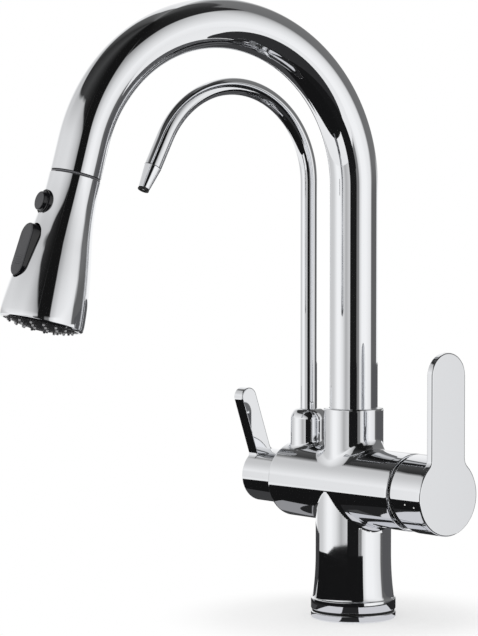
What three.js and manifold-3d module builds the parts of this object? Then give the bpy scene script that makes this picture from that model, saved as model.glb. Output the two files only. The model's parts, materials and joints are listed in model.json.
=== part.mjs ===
// Three-way pull-out kitchen faucet, in millimetres, with +Z up.
// The origin is on the column's axis at deck level. The main lever is at +X and the spouts point to -Y.
import * as THREE from "three";
import { mergeVertices } from "three/addons/utils/BufferGeometryUtils.js";
import Module from "manifold-3d";

// Shared clearances and cutting values
const seatGap = 0.3;
const runGap = 0.4;
const overrun = 5;
const weldTolerance = 1e-4;

// Facet counts
const bodySides = 36;
const headSides = 32;
const ringSides = 20;
const smallSides = 14;
const tinySides = 8;
const nubSides = 4;
const oRingSectionSides = 5;
const tubeSides = 20;
const tubeBoreSides = 12;
const tubeSteps = 24;
const thinTubeSides = 12;
const thinBoreSides = 6;
const thinTubeSteps = 19;
const hoseSides = 8;
const hoseSteps = 18;
const domeSteps = 4;

// Column, base ring and what clamps them to the deck
const columnRadius = 22;
const columnWall = 2.6;
const footRadius = 24.7;
const footEdge = 1.3;
const baseRingHeight = 4.4;
const baseSealThickness = 0.6;
const baseSealInset = 0.6;
const footBandTop = 12.3;
const footBandEdge = 0.7;
const flareFootRadius = 23.6;
const flareTop = 38;
const gasketThickness = 1.7;
const gasketWidth = 4;
const shankRadius = 16;
const shankWall = 2.7;
const shankThreadDepth = 19;
const shankLength = 62;
const deckThickness = 30;
const rubberWasherRadius = 26;
const rubberWasherThickness = 3;
const steelWasherRadius = 25;
const steelWasherThickness = 2;
const shankNutRadius = 22;
const shankNutThickness = 9;
const hexSides = 6;

// Cross body with the two collars
const crossHeight = 77.5;
const crossRadius = 22.2;
const crossLeft = 51.5;
const crossRight = 52;
const crossRimEdge = 0.8;
const mainCollarRadius = 17.4;
const mainCollarRise = 45.2;
const mainCollarEdge = 0.7;
const mainCollarLip = 5;
const hosePassageRadius = 13;
const thinCollarInset = 11.5;
const thinCollarRadius = 10.9;
const thinCollarShoulderRise = 35.5;
const thinCollarRise = 42.5;
const thinCollarNeckRadius = 6.4;
const thinCollarLip = 6;

// Main gooseneck spout
const spoutRadius = 14;
const spoutWall = 1.4;
const spoutTailDepth = 25;
const spoutBendHeight = 251;
const spoutBendRadius = 90.7;
const spoutBendAngle = THREE.MathUtils.degToRad(165);
const spoutEndLength = 20.3;
const spoutRestTurn = THREE.MathUtils.degToRad(-7);
const bushWall = 0.8;
const bushHeight = 15;
const oRingWidth = 0.6;
const oRingHeight = 1.6;
const clipThickness = 1.2;

// Thin gooseneck spout for filtered water
const thinRadius = 5;
const thinWall = 0.9;
const thinTailDepth = 24;
const thinBendHeight = 253.9;
const thinBendRadius = 55.3;
const thinBendAngle = THREE.MathUtils.degToRad(153);
const thinEndLength = 19;
const thinRestTurn = THREE.MathUtils.degToRad(-2);
const thinBushHeight = 10;
const outletTaperLength = 13.5;
const outletTipRadius = 3.3;
const outletBoreRadius = 2.2;
const outletRingHeight = 1.1;

// Pull-out hose inside the main spout, and its fittings
const hoseRadius = 6;
const hoseStart = 13;
const connectorRadius = 7.4;
const connectorNeckRadius = 5.6;
const connectorReach = 9;
const connectorBore = 3.5;
const connectorBoreDepth = 5;
const tailFittingRadius = 7;
const tailFittingLength = 14;
const dockFlangeRadius = 13.5;
const dockFlangeThickness = 0.9;
const dockBoreRadius = 8.6;
const dockSleeveLength = 16;

// Spray head: the outline's stations are distances from the seam with the spout, with the radius at each
const headLength = 82;
const headWall = 1.5;
const headNeckRadius = 14.2;
const headRimRadius = 22.2;
const headSwellRadius = 23.3;
const headStationShares = [0, 0.14, 0.27, 0.4, 0.53, 0.68, 0.84, 0.96];
const headSwellShares = [0, 0.03, 0.12, 0.29, 0.51, 0.74, 0.92, 1];
const coreTop = 5;
const coreGap = 0.5;
const nozzlePlateRadius = 20.4;
const nozzlePlateDepth = 12;
const nozzleDomeHeight = 3.2;
const nubRadius = 0.8;
const nubHeight = 1.2;
const nubTipShare = 0.7;
const nubRingCounts = [8, 12, 16];
const nubRingRadiusShares = [0.44, 0.66, 0.87];
const streamInsertRadius = 6;
const streamInsertDepth = 7;
const checkValveRadius = 5.4;
const checkValveLength = 14;

// Buttons of the spray head
const buttonStationShare = 0.215;
const buttonRadius = 5.7;
const buttonProud = 3.2;
const buttonTravel = 2;
const buttonCapHeight = 6.4;
const buttonStemRadius = 2.4;
const buttonStemLength = 3;
const springWall = 0.7;
const springHeight = 2;
const rockerStationShare = 0.552;
const rockerLength = 29.6;
const rockerWidth = 13;
const rockerProudTop = 4.2;
const rockerProudBottom = 1.4;
const rockerDepth = 7.5;
const rockerTilt = THREE.MathUtils.degToRad(6);
const rockerEndGap = 0.9;
const rockerRelief = 2;
const rockerPinRadius = 1.2;
const rockerPinRise = 2;
const rockerPinLength = 17;
const rockerRibCount = 5;
const rockerRibPitch = 1.3;
const rockerRibHeight = 0.4;
const rockerLugRadius = 1.2;
const rockerLugReach = 4.4;
const diverterRadius = 5.5;
const diverterWaist = 3.6;
const diverterLength = 16;

// Main mixing valve and its lever
const cartridgeRadius = 17.3;
const cartridgeFloor = 17;
const cartridgeShoulderInset = 6;
const cartridgeNeckRadius = 13;
const cartridgeNeckReach = 7.5;
const cartridgeNeckWall = 1.4;
const cartridgeBase = 2.6;
const cartridgeCavityRadius = 14.4;
const cartridgeShoulderWall = 1.7;
const discThickness = 3;
const fixedDiscRadius = 14;
const movingDiscRadius = 8.4;
const cartridgeNutRadius = 19.4;
const cartridgeNutThickness = 6;
const cartridgeSealThickness = 1.6;
const portRadius = 2.6;
const portCircle = 8;
const leverPivotReach = 4;
const turretWall = 1.3;
const turretPinLength = 21.6;
const stemSize = 7;
const stemOuterLength = 15;
const stemInnerLength = 15.5;
const carrierPocketHeight = 9.8;
const carrierPocketDepth = 4.4;
const stemPinRadius = 1.2;
const drumRadius = 22.3;
const drumGap = 3;
const drumLength = 24.2;
const drumReliefDepth = 5.8;
const drumWall = 2.8;
const drumFaceWall = 3;
const drumEdge = 0.5;
const leverBossRadius = 7.5;
const leverBossInset = 9.5;
const bladeWidth = 26;
const bladeThickness = 4.4;
const bladeTop = 80.5;
const bladeShoulderRadius = 7;
const grubRadius = 2.5;
const grubLength = 5;
const grubReach = 12;
const plugThickness = 1.8;

// Filtered-water valve and its lever
const thinHubRadius = 16;
const thinHubGap = 0.6;
const thinHubLength = 31.2;
const thinHubEdge = 1;
const thinHubWall = 2.6;
const thinHubBossRadius = 7;
const thinHubBossInset = 9.9;
const thinLeverTilt = THREE.MathUtils.degToRad(19);
const thinLeverWidth = 11.4;
const thinLeverThickness = 8;
const thinLeverTop = 56.4;
const thinLeverFlare = 3;
const thinValveRadius = 12;
const thinValveDepth = 27.5;
const thinValveBore = 8.6;
const thinValveNutInset = 3.5;
const thinValveNutThickness = 8;
const thinSpindleRadius = 4;
const thinSpindleEndInset = 6;
const thinDiscRadius = 8.2;
const thinGrubInset = 17.9;

// Water connections inside the column
const manifoldDrop = 3.3;
const manifoldHeight = 12;
const manifoldHoleRadius = 7;
const nippleRadius = 2.5;
const nippleBore = 1.5;
const nippleCircle = 10.2;
const nippleLength = 20;

// Finishes
const chrome = { color: 0xd9dbde, metalness: 1, roughness: 0.06 };
const brass = { color: 0xb99a5a, metalness: 1, roughness: 0.35 };
const steel = { color: 0xb8bbbe, metalness: 1, roughness: 0.3 };
const blackPlastic = { color: 0x1b1b1d, metalness: 0, roughness: 0.45 };
const greyPlastic = { color: 0x3a3b3e, metalness: 0, roughness: 0.5 };
const whitePlastic = { color: 0xe8e8e4, metalness: 0, roughness: 0.5 };
const rubber = { color: 0x151515, metalness: 0, roughness: 0.8 };
const ceramic = { color: 0xf2f0ea, metalness: 0, roughness: 0.25 };
const braid = { color: 0x8a8c90, metalness: 0.4, roughness: 0.5 };

const wasm = await Module();
wasm.setup();

// Solid modelling helpers

function toSolid(geometry) {
  const bare = geometry.clone();
  bare.deleteAttribute("normal");
  bare.deleteAttribute("uv");
  const merged = mergeVertices(bare, weldTolerance);
  const triVerts = new Uint32Array(merged.index.array);
  const vertProperties = merged.attributes.position.array;
  return new wasm.Manifold(new wasm.Mesh({ numProp: 3, vertProperties, triVerts }));
}

function toGeometry(solid) {
  const mesh = solid.getMesh();
  const shared = new THREE.BufferGeometry();
  shared.setAttribute("position", new THREE.BufferAttribute(mesh.vertProperties, 3));
  shared.setIndex(new THREE.BufferAttribute(mesh.triVerts, 1));
  const flat = shared.toNonIndexed();
  flat.computeVertexNormals();
  return flat;
}

function join(...geometries) {
  const solids = geometries.map(toSolid);
  return toGeometry(solids.reduce((whole, piece) => whole.add(piece)));
}

function cut(geometry, ...tools) {
  const solids = tools.map(toSolid);
  return toGeometry(solids.reduce((whole, tool) => whole.subtract(tool), toSolid(geometry)));
}

function overlap(geometry, other) {
  return toGeometry(toSolid(geometry).intersect(toSolid(other)));
}

// Turns an outline of [radius, height] pairs about Z. An outline off the axis closes on itself.
function revolve(outline, sides) {
  const points = outline.map(([radius, height]) => new THREE.Vector2(radius, height));
  const first = points[0];
  const last = points[points.length - 1];
  if (first.x > 0 || last.x > 0) points.push(first.clone());
  if (THREE.ShapeUtils.area(points) < 0) points.reverse();
  return new THREE.LatheGeometry(points, sides).rotateX(Math.PI / 2);
}

function disc(radius, low, high, sides = ringSides) {
  return revolve([[0, low], [radius, low], [radius, high], [0, high]], sides);
}

function ring(innerRadius, outerRadius, low, high, sides = ringSides) {
  const outline = [[innerRadius, low], [outerRadius, low], [outerRadius, high], [innerRadius, high]];
  return revolve(outline, sides);
}

// A ring of round section, such as an O-ring
function roundRing(innerRadius, outerRadius, middle, height, sides = ringSides) {
  const centre = (innerRadius + outerRadius) / 2;
  const outline = [];
  for (let i = 0; i < oRingSectionSides; i += 1) {
    const angle = (i / oRingSectionSides) * 2 * Math.PI;
    const radius = centre + ((outerRadius - innerRadius) / 2) * Math.cos(angle);
    outline.push([radius, middle + (height / 2) * Math.sin(angle)]);
  }
  return revolve(outline, sides);
}

function hexPrism(acrossCorners, low, high) {
  return disc(acrossCorners, low, high, hexSides);
}

function block(width, depth, height) {
  return new THREE.BoxGeometry(width, depth, height);
}

// Turns a solid made about Z so that its axis is X: heights become distances along +X
function alongX(geometry) {
  return geometry.rotateY(Math.PI / 2);
}

function circleShape(radius, sides, boreRadius = 0, boreSides = 0) {
  const rim = (r, n) => {
    const corners = [];
    for (let i = 0; i < n; i += 1) {
      const angle = (i / n) * 2 * Math.PI;
      corners.push(new THREE.Vector2(r * Math.cos(angle), r * Math.sin(angle)));
    }
    return corners;
  };
  const shape = new THREE.Shape(rim(radius, sides));
  if (boreRadius > 0) shape.holes.push(new THREE.Path(rim(boreRadius, boreSides)));
  return shape;
}

// The centre line of a gooseneck in the YZ plane: up a riser, round the bend and down a straight end
class Gooseneck extends THREE.Curve {
  constructor(steps, start, bendHeight, bendRadius, bendAngle, endLength) {
    super();
    this.steps = steps;
    this.riser = bendHeight - start;
    this.start = start;
    this.bendHeight = bendHeight;
    this.bendRadius = bendRadius;
    this.bendAngle = bendAngle;
    this.bend = bendRadius * bendAngle;
    this.end = endLength;
    this.total = this.riser + this.bend + endLength;
  }
  getPoint(t, target = new THREE.Vector3()) {
    const distance = t * this.total;
    const along = distance - this.riser;
    if (along <= 0) return target.set(0, 0, this.start + distance);
    const angle = Math.min(along, this.bend) / this.bendRadius;
    const past = Math.max(along - this.bend, 0);
    const reach = this.bendRadius * (1 - Math.cos(angle)) + past * Math.sin(angle);
    const height = this.bendHeight + this.bendRadius * Math.sin(angle) + past * Math.cos(angle);
    return target.set(0, -reach, height);
  }
  // A sweep takes one step on each straight and the rest of its steps in the bend
  share(u) {
    const step = u * this.steps;
    const bendSteps = this.steps - 2;
    const up = Math.min(step, 1) * this.riser;
    const round = (Math.min(Math.max(step - 1, 0), bendSteps) / bendSteps) * this.bend;
    const down = Math.max(step - 1 - bendSteps, 0) * this.end;
    return (up + round + down) / this.total;
  }
  getPointAt(u, target) {
    return this.getPoint(this.share(u), target);
  }
  getTangentAt(u, target) {
    return this.getTangent(this.share(u), target);
  }
}

function sweep(shape, curve) {
  const settings = { steps: curve.steps, extrudePath: curve, bevelEnabled: false };
  return new THREE.ExtrudeGeometry(shape, settings);
}

function stadiumPrism(width, length, low, high) {
  const side = (length - width) / 2;
  const shape = new THREE.Shape();
  shape.absarc(0, side, width / 2, 0, Math.PI);
  shape.absarc(0, -side, width / 2, Math.PI, 2 * Math.PI);
  const settings = { depth: high - low, bevelEnabled: false, curveSegments: tinySides };
  return new THREE.ExtrudeGeometry(shape, settings).translate(0, 0, low);
}

// A prism whose outline lies in the YZ plane, running from one place to another along X
function crossPrism(shape, low, high) {
  const prism = new THREE.ExtrudeGeometry(shape, {
    depth: high - low,
    bevelEnabled: false,
    curveSegments: tinySides,
  });
  const basis = new THREE.Matrix4().makeBasis(
    new THREE.Vector3(0, 1, 0),
    new THREE.Vector3(0, 0, 1),
    new THREE.Vector3(1, 0, 0),
  );
  return prism.applyMatrix4(basis).translate(low, 0, 0);
}

// A prism whose outline lies in the XZ plane, as wide on both sides of it
function lengthwisePrism(shape, halfWidth) {
  const prism = new THREE.ExtrudeGeometry(shape, { depth: 2 * halfWidth, bevelEnabled: false });
  return prism.rotateX(Math.PI / 2).translate(0, halfWidth, 0);
}

// Mesh helper: a named piece in a group

function piece(group, name, finish, geometry) {
  const mesh = new THREE.Mesh(geometry, new THREE.MeshStandardMaterial(finish));
  mesh.name = name;
  group.add(mesh);
  return mesh;
}

const faucet = new THREE.Group();

// Cross valves hang in one group, whose X axis is the axis of both levers
const valves = new THREE.Group();
valves.position.z = crossHeight;
faucet.add(valves);

// Body casting: column, cross body and two collars, bored for the valves, the spouts and the hose

const bodyBottom = baseRingHeight + baseSealThickness + 2 * seatGap;
const columnBore = columnRadius - columnWall;
const cartridgeBore = cartridgeRadius + seatGap;
const cartridgeNutBore = cartridgeNutRadius + seatGap;
const thinValveBoreRadius = thinValveRadius + seatGap;
const spoutBoreRadius = spoutRadius + runGap;
const thinBoreRadius = thinRadius + runGap;
const mainBushBore = spoutRadius + seatGap + oRingWidth + seatGap;
const mainBushRadius = mainBushBore + bushWall;
const thinBushBore = thinRadius + seatGap + oRingWidth + seatGap;
const thinBushRadius = thinBushBore + bushWall;
const cartridgeShoulder = crossRight - cartridgeShoulderInset;
const thinValveInner = crossLeft - thinValveDepth;
const thinValveNutStart = crossLeft - thinValveNutInset;
const thinCollarOffset = crossLeft - thinCollarInset;
const mainCollarTop = crossHeight + mainCollarRise;
const thinCollarShoulder = crossHeight + thinCollarShoulderRise;
const thinCollarTop = crossHeight + thinCollarRise;
const mainCounterTop = mainCollarTop - mainCollarLip;
const thinCounterTop = thinCollarTop - thinCollarLip;
const spoutBottom = mainCollarTop - spoutTailDepth;
const manifoldTop = crossHeight - crossRadius - manifoldDrop;

function makeBody() {
  const column = revolve(
    [
      [0, bodyBottom],
      [footRadius - baseSealInset, bodyBottom],
      [footRadius, bodyBottom + baseSealInset],
      [footRadius, footBandTop - footBandEdge],
      [footRadius - footBandEdge, footBandTop],
      [flareFootRadius, footBandTop],
      [(flareFootRadius + columnRadius) / 2 - footBandEdge / 2, (footBandTop + flareTop) / 2],
      [columnRadius, flareTop],
      [columnRadius, crossHeight],
      [0, crossHeight],
    ],
    bodySides,
  );
  const cross = alongX(
    revolve(
      [
        [0, -crossLeft],
        [crossRadius - crossRimEdge, -crossLeft],
        [crossRadius, crossRimEdge - crossLeft],
        [crossRadius, crossRight - crossRimEdge],
        [crossRadius - crossRimEdge, crossRight],
        [0, crossRight],
      ],
      bodySides,
    ),
  ).translate(0, 0, crossHeight);
  const mainCollar = revolve(
    [
      [0, crossHeight],
      [mainCollarRadius, crossHeight],
      [mainCollarRadius, mainCollarTop - mainCollarEdge],
      [mainCollarRadius - mainCollarEdge, mainCollarTop],
      [0, mainCollarTop],
    ],
    bodySides,
  );
  const shoulder = [];
  for (let i = 0; i <= domeSteps; i += 1) {
    const angle = (i / domeSteps) * (Math.PI / 2);
    const radius = thinCollarNeckRadius + (thinCollarRadius - thinCollarNeckRadius) * Math.cos(angle);
    const height = thinCollarShoulder + (thinCollarTop - thinCollarShoulder) * Math.sin(angle);
    shoulder.push([radius, height]);
  }
  const thinCollar = revolve(
    [[0, crossHeight], [thinCollarRadius, crossHeight], ...shoulder, [0, thinCollarTop]],
    ringSides,
  ).translate(-thinCollarOffset, 0, 0);
  const whole = join(column, cross, mainCollar, thinCollar);
  const bores = [
    disc(columnBore, bodyBottom + shankThreadDepth, manifoldTop + seatGap, bodySides),
    disc(hosePassageRadius, manifoldTop, spoutBottom),
    disc(shankRadius + seatGap, bodyBottom - overrun, crossHeight),
    alongX(disc(cartridgeBore, cartridgeFloor, crossRight + overrun)).translate(0, 0, crossHeight),
    alongX(disc(cartridgeNutBore, cartridgeShoulder - seatGap, crossRight + overrun))
      .translate(0, 0, crossHeight),
    alongX(disc(thinValveBoreRadius, -crossLeft - overrun, seatGap - thinValveInner))
      .translate(0, 0, crossHeight),
    disc(spoutBoreRadius, spoutBottom, mainCollarTop + overrun),
    disc(mainBushRadius + seatGap, spoutBottom - seatGap, mainCounterTop),
    disc(thinBoreRadius, crossHeight, thinCollarTop + overrun).translate(-thinCollarOffset, 0, 0),
    disc(thinBushRadius + seatGap, crossHeight, thinCounterTop).translate(-thinCollarOffset, 0, 0),
  ];
  return cut(whole, ...bores);
}

piece(faucet, "body_casting", chrome, makeBody());

// Base ring, seal, gasket and the parts under the deck

const gasketOuter = shankRadius + seatGap + gasketWidth + seatGap;
const baseRing = revolve(
  [
    [shankRadius + seatGap, gasketThickness + seatGap],
    [gasketOuter, gasketThickness + seatGap],
    [gasketOuter, 0],
    [footRadius - footEdge, 0],
    [footRadius, footEdge],
    [footRadius, baseRingHeight - footBandEdge],
    [footRadius - footBandEdge, baseRingHeight],
    [shankRadius + seatGap, baseRingHeight],
  ],
  bodySides,
);
piece(faucet, "base_ring", chrome, baseRing);

const sealLow = baseRingHeight + seatGap;
const sealOuter = footRadius - baseSealInset;
piece(
  faucet,
  "base_seal",
  rubber,
  ring(shankRadius + seatGap, sealOuter, sealLow, sealLow + baseSealThickness, bodySides),
);

const gasketInner = shankRadius + seatGap;
piece(faucet, "deck_gasket", rubber, ring(gasketInner, gasketInner + gasketWidth, 0, gasketThickness));

const shankTop = bodyBottom + shankThreadDepth - seatGap;
const shank = ring(shankRadius - shankWall, shankRadius, -shankLength, shankTop);
piece(faucet, "mounting_shank", brass, shank);

const washerBore = shankRadius + seatGap;
const rubberWasherTop = -deckThickness;
const rubberWasherBottom = rubberWasherTop - rubberWasherThickness;
piece(
  faucet,
  "rubber_washer",
  rubber,
  ring(washerBore, rubberWasherRadius, rubberWasherBottom, rubberWasherTop),
);
const steelWasherTop = rubberWasherBottom - seatGap;
const steelWasherBottom = steelWasherTop - steelWasherThickness;
piece(
  faucet,
  "steel_washer",
  steel,
  ring(washerBore, steelWasherRadius, steelWasherBottom, steelWasherTop),
);
const shankNutTop = steelWasherBottom - seatGap;
const shankNutBottom = shankNutTop - shankNutThickness;
const shankNut = cut(
  hexPrism(shankNutRadius, shankNutBottom, shankNutTop),
  disc(washerBore, shankNutBottom - overrun, shankNutTop + overrun),
);
piece(faucet, "shank_nut", brass, shankNut);

// Water connections: a block in the column, with four nipples round the hose

const manifoldBottom = manifoldTop - manifoldHeight;
const nippleNames = ["cold_inlet", "mixed_outlet", "hot_inlet", "filtered_inlet"];
const nippleAngle = (index) => (index / nippleNames.length) * 2 * Math.PI;
const nipplePlace = (geometry, index) => {
  const angle = nippleAngle(index);
  return geometry.translate(nippleCircle * Math.cos(angle), nippleCircle * Math.sin(angle), 0);
};

const nippleHoles = nippleNames.map((name, index) =>
  nipplePlace(
    disc(nippleBore + seatGap, manifoldBottom - overrun, manifoldTop + overrun, tinySides),
    index,
  ),
);
const manifoldBlock = cut(
  disc(columnBore - seatGap, manifoldBottom, manifoldTop),
  disc(manifoldHoleRadius, manifoldBottom - overrun, manifoldTop + overrun),
  ...nippleHoles,
);
piece(faucet, "inlet_block", brass, manifoldBlock);

const nippleTop = manifoldBottom - seatGap;
nippleNames.forEach((name, index) => {
  const nipple = ring(nippleBore, nippleRadius, nippleTop - nippleLength, nippleTop, tinySides);
  piece(faucet, name, brass, nipplePlace(nipple, index));
});

// Swivel bushes of both spouts, in the collars

const mainBushTop = mainCounterTop - seatGap;
const mainBushBottom = mainBushTop - bushHeight;
piece(
  faucet,
  "main_spout_bush",
  whitePlastic,
  ring(mainBushBore, mainBushRadius, mainBushBottom, mainBushTop),
);
const thinBushTop = thinCounterTop - seatGap;
const thinBushBottom = thinBushTop - thinBushHeight;
const thinBush = ring(thinBushBore, thinBushRadius, thinBushBottom, thinBushTop, smallSides);
piece(faucet, "filter_spout_bush", whitePlastic, thinBush.translate(-thinCollarOffset, 0, 0));

// Main spout: tube, O-rings and clip on its tail, dock bush in its mouth and the hose inside

const mainSpout = new THREE.Group();
mainSpout.rotation.z = spoutRestTurn;
faucet.add(mainSpout);

const spoutLine = new Gooseneck(
  tubeSteps,
  spoutBottom,
  spoutBendHeight,
  spoutBendRadius,
  spoutBendAngle,
  spoutEndLength - dockFlangeThickness - 2 * seatGap,
);
const spoutSection = circleShape(spoutRadius, tubeSides, spoutRadius - spoutWall, tubeBoreSides);
piece(mainSpout, "main_spout_tube", chrome, sweep(spoutSection, spoutLine));

const oRingInner = spoutRadius + seatGap;
const oRingOuter = oRingInner + oRingWidth;
const upperORing = mainBushTop - oRingHeight;
const lowerORing = mainBushBottom + oRingHeight;
piece(
  mainSpout,
  "spout_o_ring_upper",
  rubber,
  roundRing(oRingInner, oRingOuter, upperORing, oRingHeight),
);
piece(
  mainSpout,
  "spout_o_ring_lower",
  rubber,
  roundRing(oRingInner, oRingOuter, lowerORing, oRingHeight),
);
const clipTop = mainBushBottom - seatGap;
piece(
  mainSpout,
  "spout_retaining_clip",
  steel,
  ring(oRingInner, mainBushRadius - seatGap, clipTop - clipThickness, clipTop),
);

// The head's frame sits at the seam, with -Z along the head's axis and -Y on the button side

const headFrame = new THREE.Group();
const headLine = new Gooseneck(
  tubeSteps,
  spoutBottom,
  spoutBendHeight,
  spoutBendRadius,
  spoutBendAngle,
  spoutEndLength,
);
headFrame.position.copy(headLine.getPoint(1));
headFrame.rotation.x = spoutBendAngle - Math.PI;
mainSpout.add(headFrame);

const dockOuter = spoutRadius - spoutWall - 2 * seatGap;
const dockBush = revolve(
  [
    [dockBoreRadius, seatGap],
    [dockFlangeRadius, seatGap],
    [dockFlangeRadius, seatGap + dockFlangeThickness],
    [dockOuter, seatGap + dockFlangeThickness],
    [dockOuter, dockSleeveLength],
    [dockBoreRadius, dockSleeveLength],
  ],
  ringSides,
);
piece(headFrame, "dock_bush", greyPlastic, dockBush);

// The hose runs from the connector round the bend and down the column and shank

const hoseLine = new Gooseneck(
  hoseSteps,
  -shankLength,
  spoutBendHeight,
  spoutBendRadius,
  spoutBendAngle,
  spoutEndLength - hoseStart,
);
const hose = sweep(circleShape(hoseRadius, hoseSides), hoseLine);
piece(mainSpout, "pull_out_hose", braid, hose);

const tailFittingTop = -shankLength - seatGap;
const tailFitting = cut(
  hexPrism(tailFittingRadius, tailFittingTop - tailFittingLength, tailFittingTop),
  disc(connectorBore, tailFittingTop - tailFittingLength - overrun, tailFittingTop - connectorBoreDepth),
);
piece(mainSpout, "hose_tail_fitting", brass, tailFitting);

const connectorTop = hoseStart - seatGap;
const connector = revolve(
  [
    [0, -connectorReach + connectorBoreDepth],
    [connectorBore, -connectorReach + connectorBoreDepth],
    [connectorBore, -connectorReach],
    [connectorNeckRadius, -connectorReach],
    [connectorNeckRadius, -seatGap],
    [connectorRadius, -seatGap],
    [connectorRadius, connectorTop],
    [0, connectorTop],
  ],
  smallSides,
);
piece(headFrame, "hose_connector", steel, connector);

// Spray head shell: a flared chrome cone, open at both ends, with a round hole and a slot in front

function headRadius(station) {
  const share = station / headLength;
  const last = headStationShares.length - 1;
  let i = 1;
  while (i < last && headStationShares[i] < share) i += 1;
  const low = headStationShares[i - 1];
  const high = headStationShares[i];
  const part = Math.min((share - low) / (high - low), 1);
  const swell = headSwellShares[i - 1] + (headSwellShares[i] - headSwellShares[i - 1]) * part;
  return headNeckRadius + (headSwellRadius - headNeckRadius) * swell;
}

const nozzlePlateTop = headLength - nozzlePlateDepth;
const coreBottom = nozzlePlateTop - seatGap;
const buttonStation = headLength * buttonStationShare;
const rockerStation = headLength * rockerStationShare;
const headStations = headStationShares.map((share) => share * headLength);
const outerLine = headStations.map((station) => [headRadius(station), -station]);
const shellInner = (station, gap) => [headRadius(station) - headWall - gap, -station];

// A tool for cutting square to the front of the head: its Z axis points out at the buttons
function facingFront(geometry, station) {
  return geometry.rotateX(Math.PI / 2).translate(0, 0, -station);
}

const shellSolid = revolve(
  [
    ...outerLine,
    [headRimRadius, -headLength],
    [headRimRadius - headWall, -headLength],
    ...headStations.map((station) => shellInner(station, 0)).reverse(),
  ],
  headSides,
);
const buttonHole = facingFront(
  disc(buttonRadius + runGap, 0, headRimRadius + overrun, smallSides),
  buttonStation,
);
const rockerSlot = facingFront(
  stadiumPrism(
    rockerWidth + 2 * runGap,
    rockerLength + 2 * rockerEndGap,
    0,
    headRimRadius + overrun,
  ),
  rockerStation,
);
piece(headFrame, "spray_head_shell", chrome, cut(shellSolid, buttonHole, rockerSlot));

// Core of the head: a plastic body with the water channel and pockets for both buttons

const coreStations = headStations.filter((station) => station > coreTop && station < coreBottom);
const coreSolid = revolve(
  [
    [0, -coreTop],
    shellInner(coreTop, coreGap),
    ...coreStations.map((station) => shellInner(station, coreGap)),
    shellInner(coreBottom, coreGap),
    [0, -coreBottom],
  ],
  ringSides,
);
const buttonFace = headRadius(buttonStation) + buttonProud;
const buttonUnder = buttonFace - buttonCapHeight;
const buttonFloor = buttonUnder - buttonTravel - runGap;
const springFloor = buttonFloor - springHeight;
const springInner = buttonStemRadius + runGap + seatGap;
const springOuter = springInner + springWall;
const rockerBase = headRadius(rockerStation) - rockerDepth;
const rockerFloor = rockerBase - runGap;
const rockerPinHeight = rockerBase + rockerPinRise;
const channelRadius = diverterRadius + seatGap;

function rockerPinSolid(radius, length) {
  return alongX(disc(radius, -length / 2, length / 2, tinySides)).translate(0, 0, rockerPinHeight);
}

function rockerPocket(gap, low) {
  const width = rockerWidth + 2 * gap;
  return stadiumPrism(width, rockerLength + 2 * rockerEndGap, low, headRimRadius + overrun);
}

const core = cut(
  coreSolid,
  disc(connectorNeckRadius + runGap, -connectorReach - seatGap, 0, smallSides),
  disc(channelRadius, -coreBottom - overrun, 0, smallSides),
  facingFront(disc(buttonRadius + runGap, buttonFloor, headRimRadius, smallSides), buttonStation),
  facingFront(disc(springOuter + seatGap, springFloor, headRimRadius, tinySides), buttonStation),
  facingFront(disc(buttonStemRadius + runGap, 0, headRimRadius, tinySides), buttonStation),
  facingFront(rockerPocket(runGap, rockerFloor), rockerStation),
  facingFront(disc(rockerLugRadius + 4 * runGap, 0, rockerBase, tinySides), rockerStation),
  facingFront(rockerPinSolid(rockerPinRadius + seatGap, rockerPinLength + 2 * seatGap), rockerStation),
);
piece(headFrame, "spray_head_core", blackPlastic, core);

const valveTop = -connectorReach - 2 * seatGap;
const checkValve = ring(
  connectorBore,
  checkValveRadius,
  valveTop - checkValveLength,
  valveTop,
  smallSides,
);
piece(headFrame, "check_valve", whitePlastic, checkValve);

// Nozzle plate: a shallow dome with rings of rubber nubs round a stream insert

function domeOutline(radius, rimHeight, rise) {
  const outline = [];
  for (let i = 0; i <= domeSteps; i += 1) {
    const share = i / domeSteps;
    outline.push([radius * (1 - share), rimHeight - rise * (1 - (1 - share) ** 2)]);
  }
  return outline;
}

const plateFace = -headLength + seatGap;
const plateSolid = revolve(
  [[0, -nozzlePlateTop], [nozzlePlateRadius, -nozzlePlateTop],
    ...domeOutline(nozzlePlateRadius, plateFace, nozzleDomeHeight)],
  ringSides,
);
const nubs = [];
nubRingCounts.forEach((count, ringIndex) => {
  const share = nubRingRadiusShares[ringIndex];
  const radius = nozzlePlateRadius * share;
  const face = plateFace - nozzleDomeHeight * (1 - share ** 2);
  for (let i = 0; i < count; i += 1) {
    const angle = ((i + ringIndex / 2) / count) * 2 * Math.PI;
    const nub = revolve(
      [
        [0, face + nubHeight],
        [nubRadius, face + nubHeight],
        [nubRadius * nubTipShare, face - nubHeight],
        [0, face - nubHeight],
      ],
      nubSides,
    );
    nubs.push(nub.translate(radius * Math.cos(angle), radius * Math.sin(angle), 0));
  }
});
const insertTop = -headLength + streamInsertDepth;
const insertHole = disc(streamInsertRadius + seatGap, -headLength - overrun, insertTop + seatGap);
const channelHole = disc(connectorBore, -headLength - overrun, 0, tinySides);
piece(
  headFrame,
  "nozzle_plate",
  blackPlastic,
  cut(join(plateSolid, ...nubs), insertHole, channelHole),
);
const insertBottom = plateFace - nozzleDomeHeight;
piece(
  headFrame,
  "stream_insert",
  greyPlastic,
  ring(nubRadius, streamInsertRadius, insertBottom, insertTop, smallSides),
);

// Round push button with its return spring

const buttonCap = disc(buttonRadius, buttonUnder, buttonFace, smallSides);
const buttonStem = disc(
  buttonStemRadius,
  buttonUnder - buttonStemLength,
  buttonUnder + seatGap,
  tinySides,
);
piece(headFrame, "pause_button", blackPlastic, facingFront(join(buttonCap, buttonStem), buttonStation));

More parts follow.
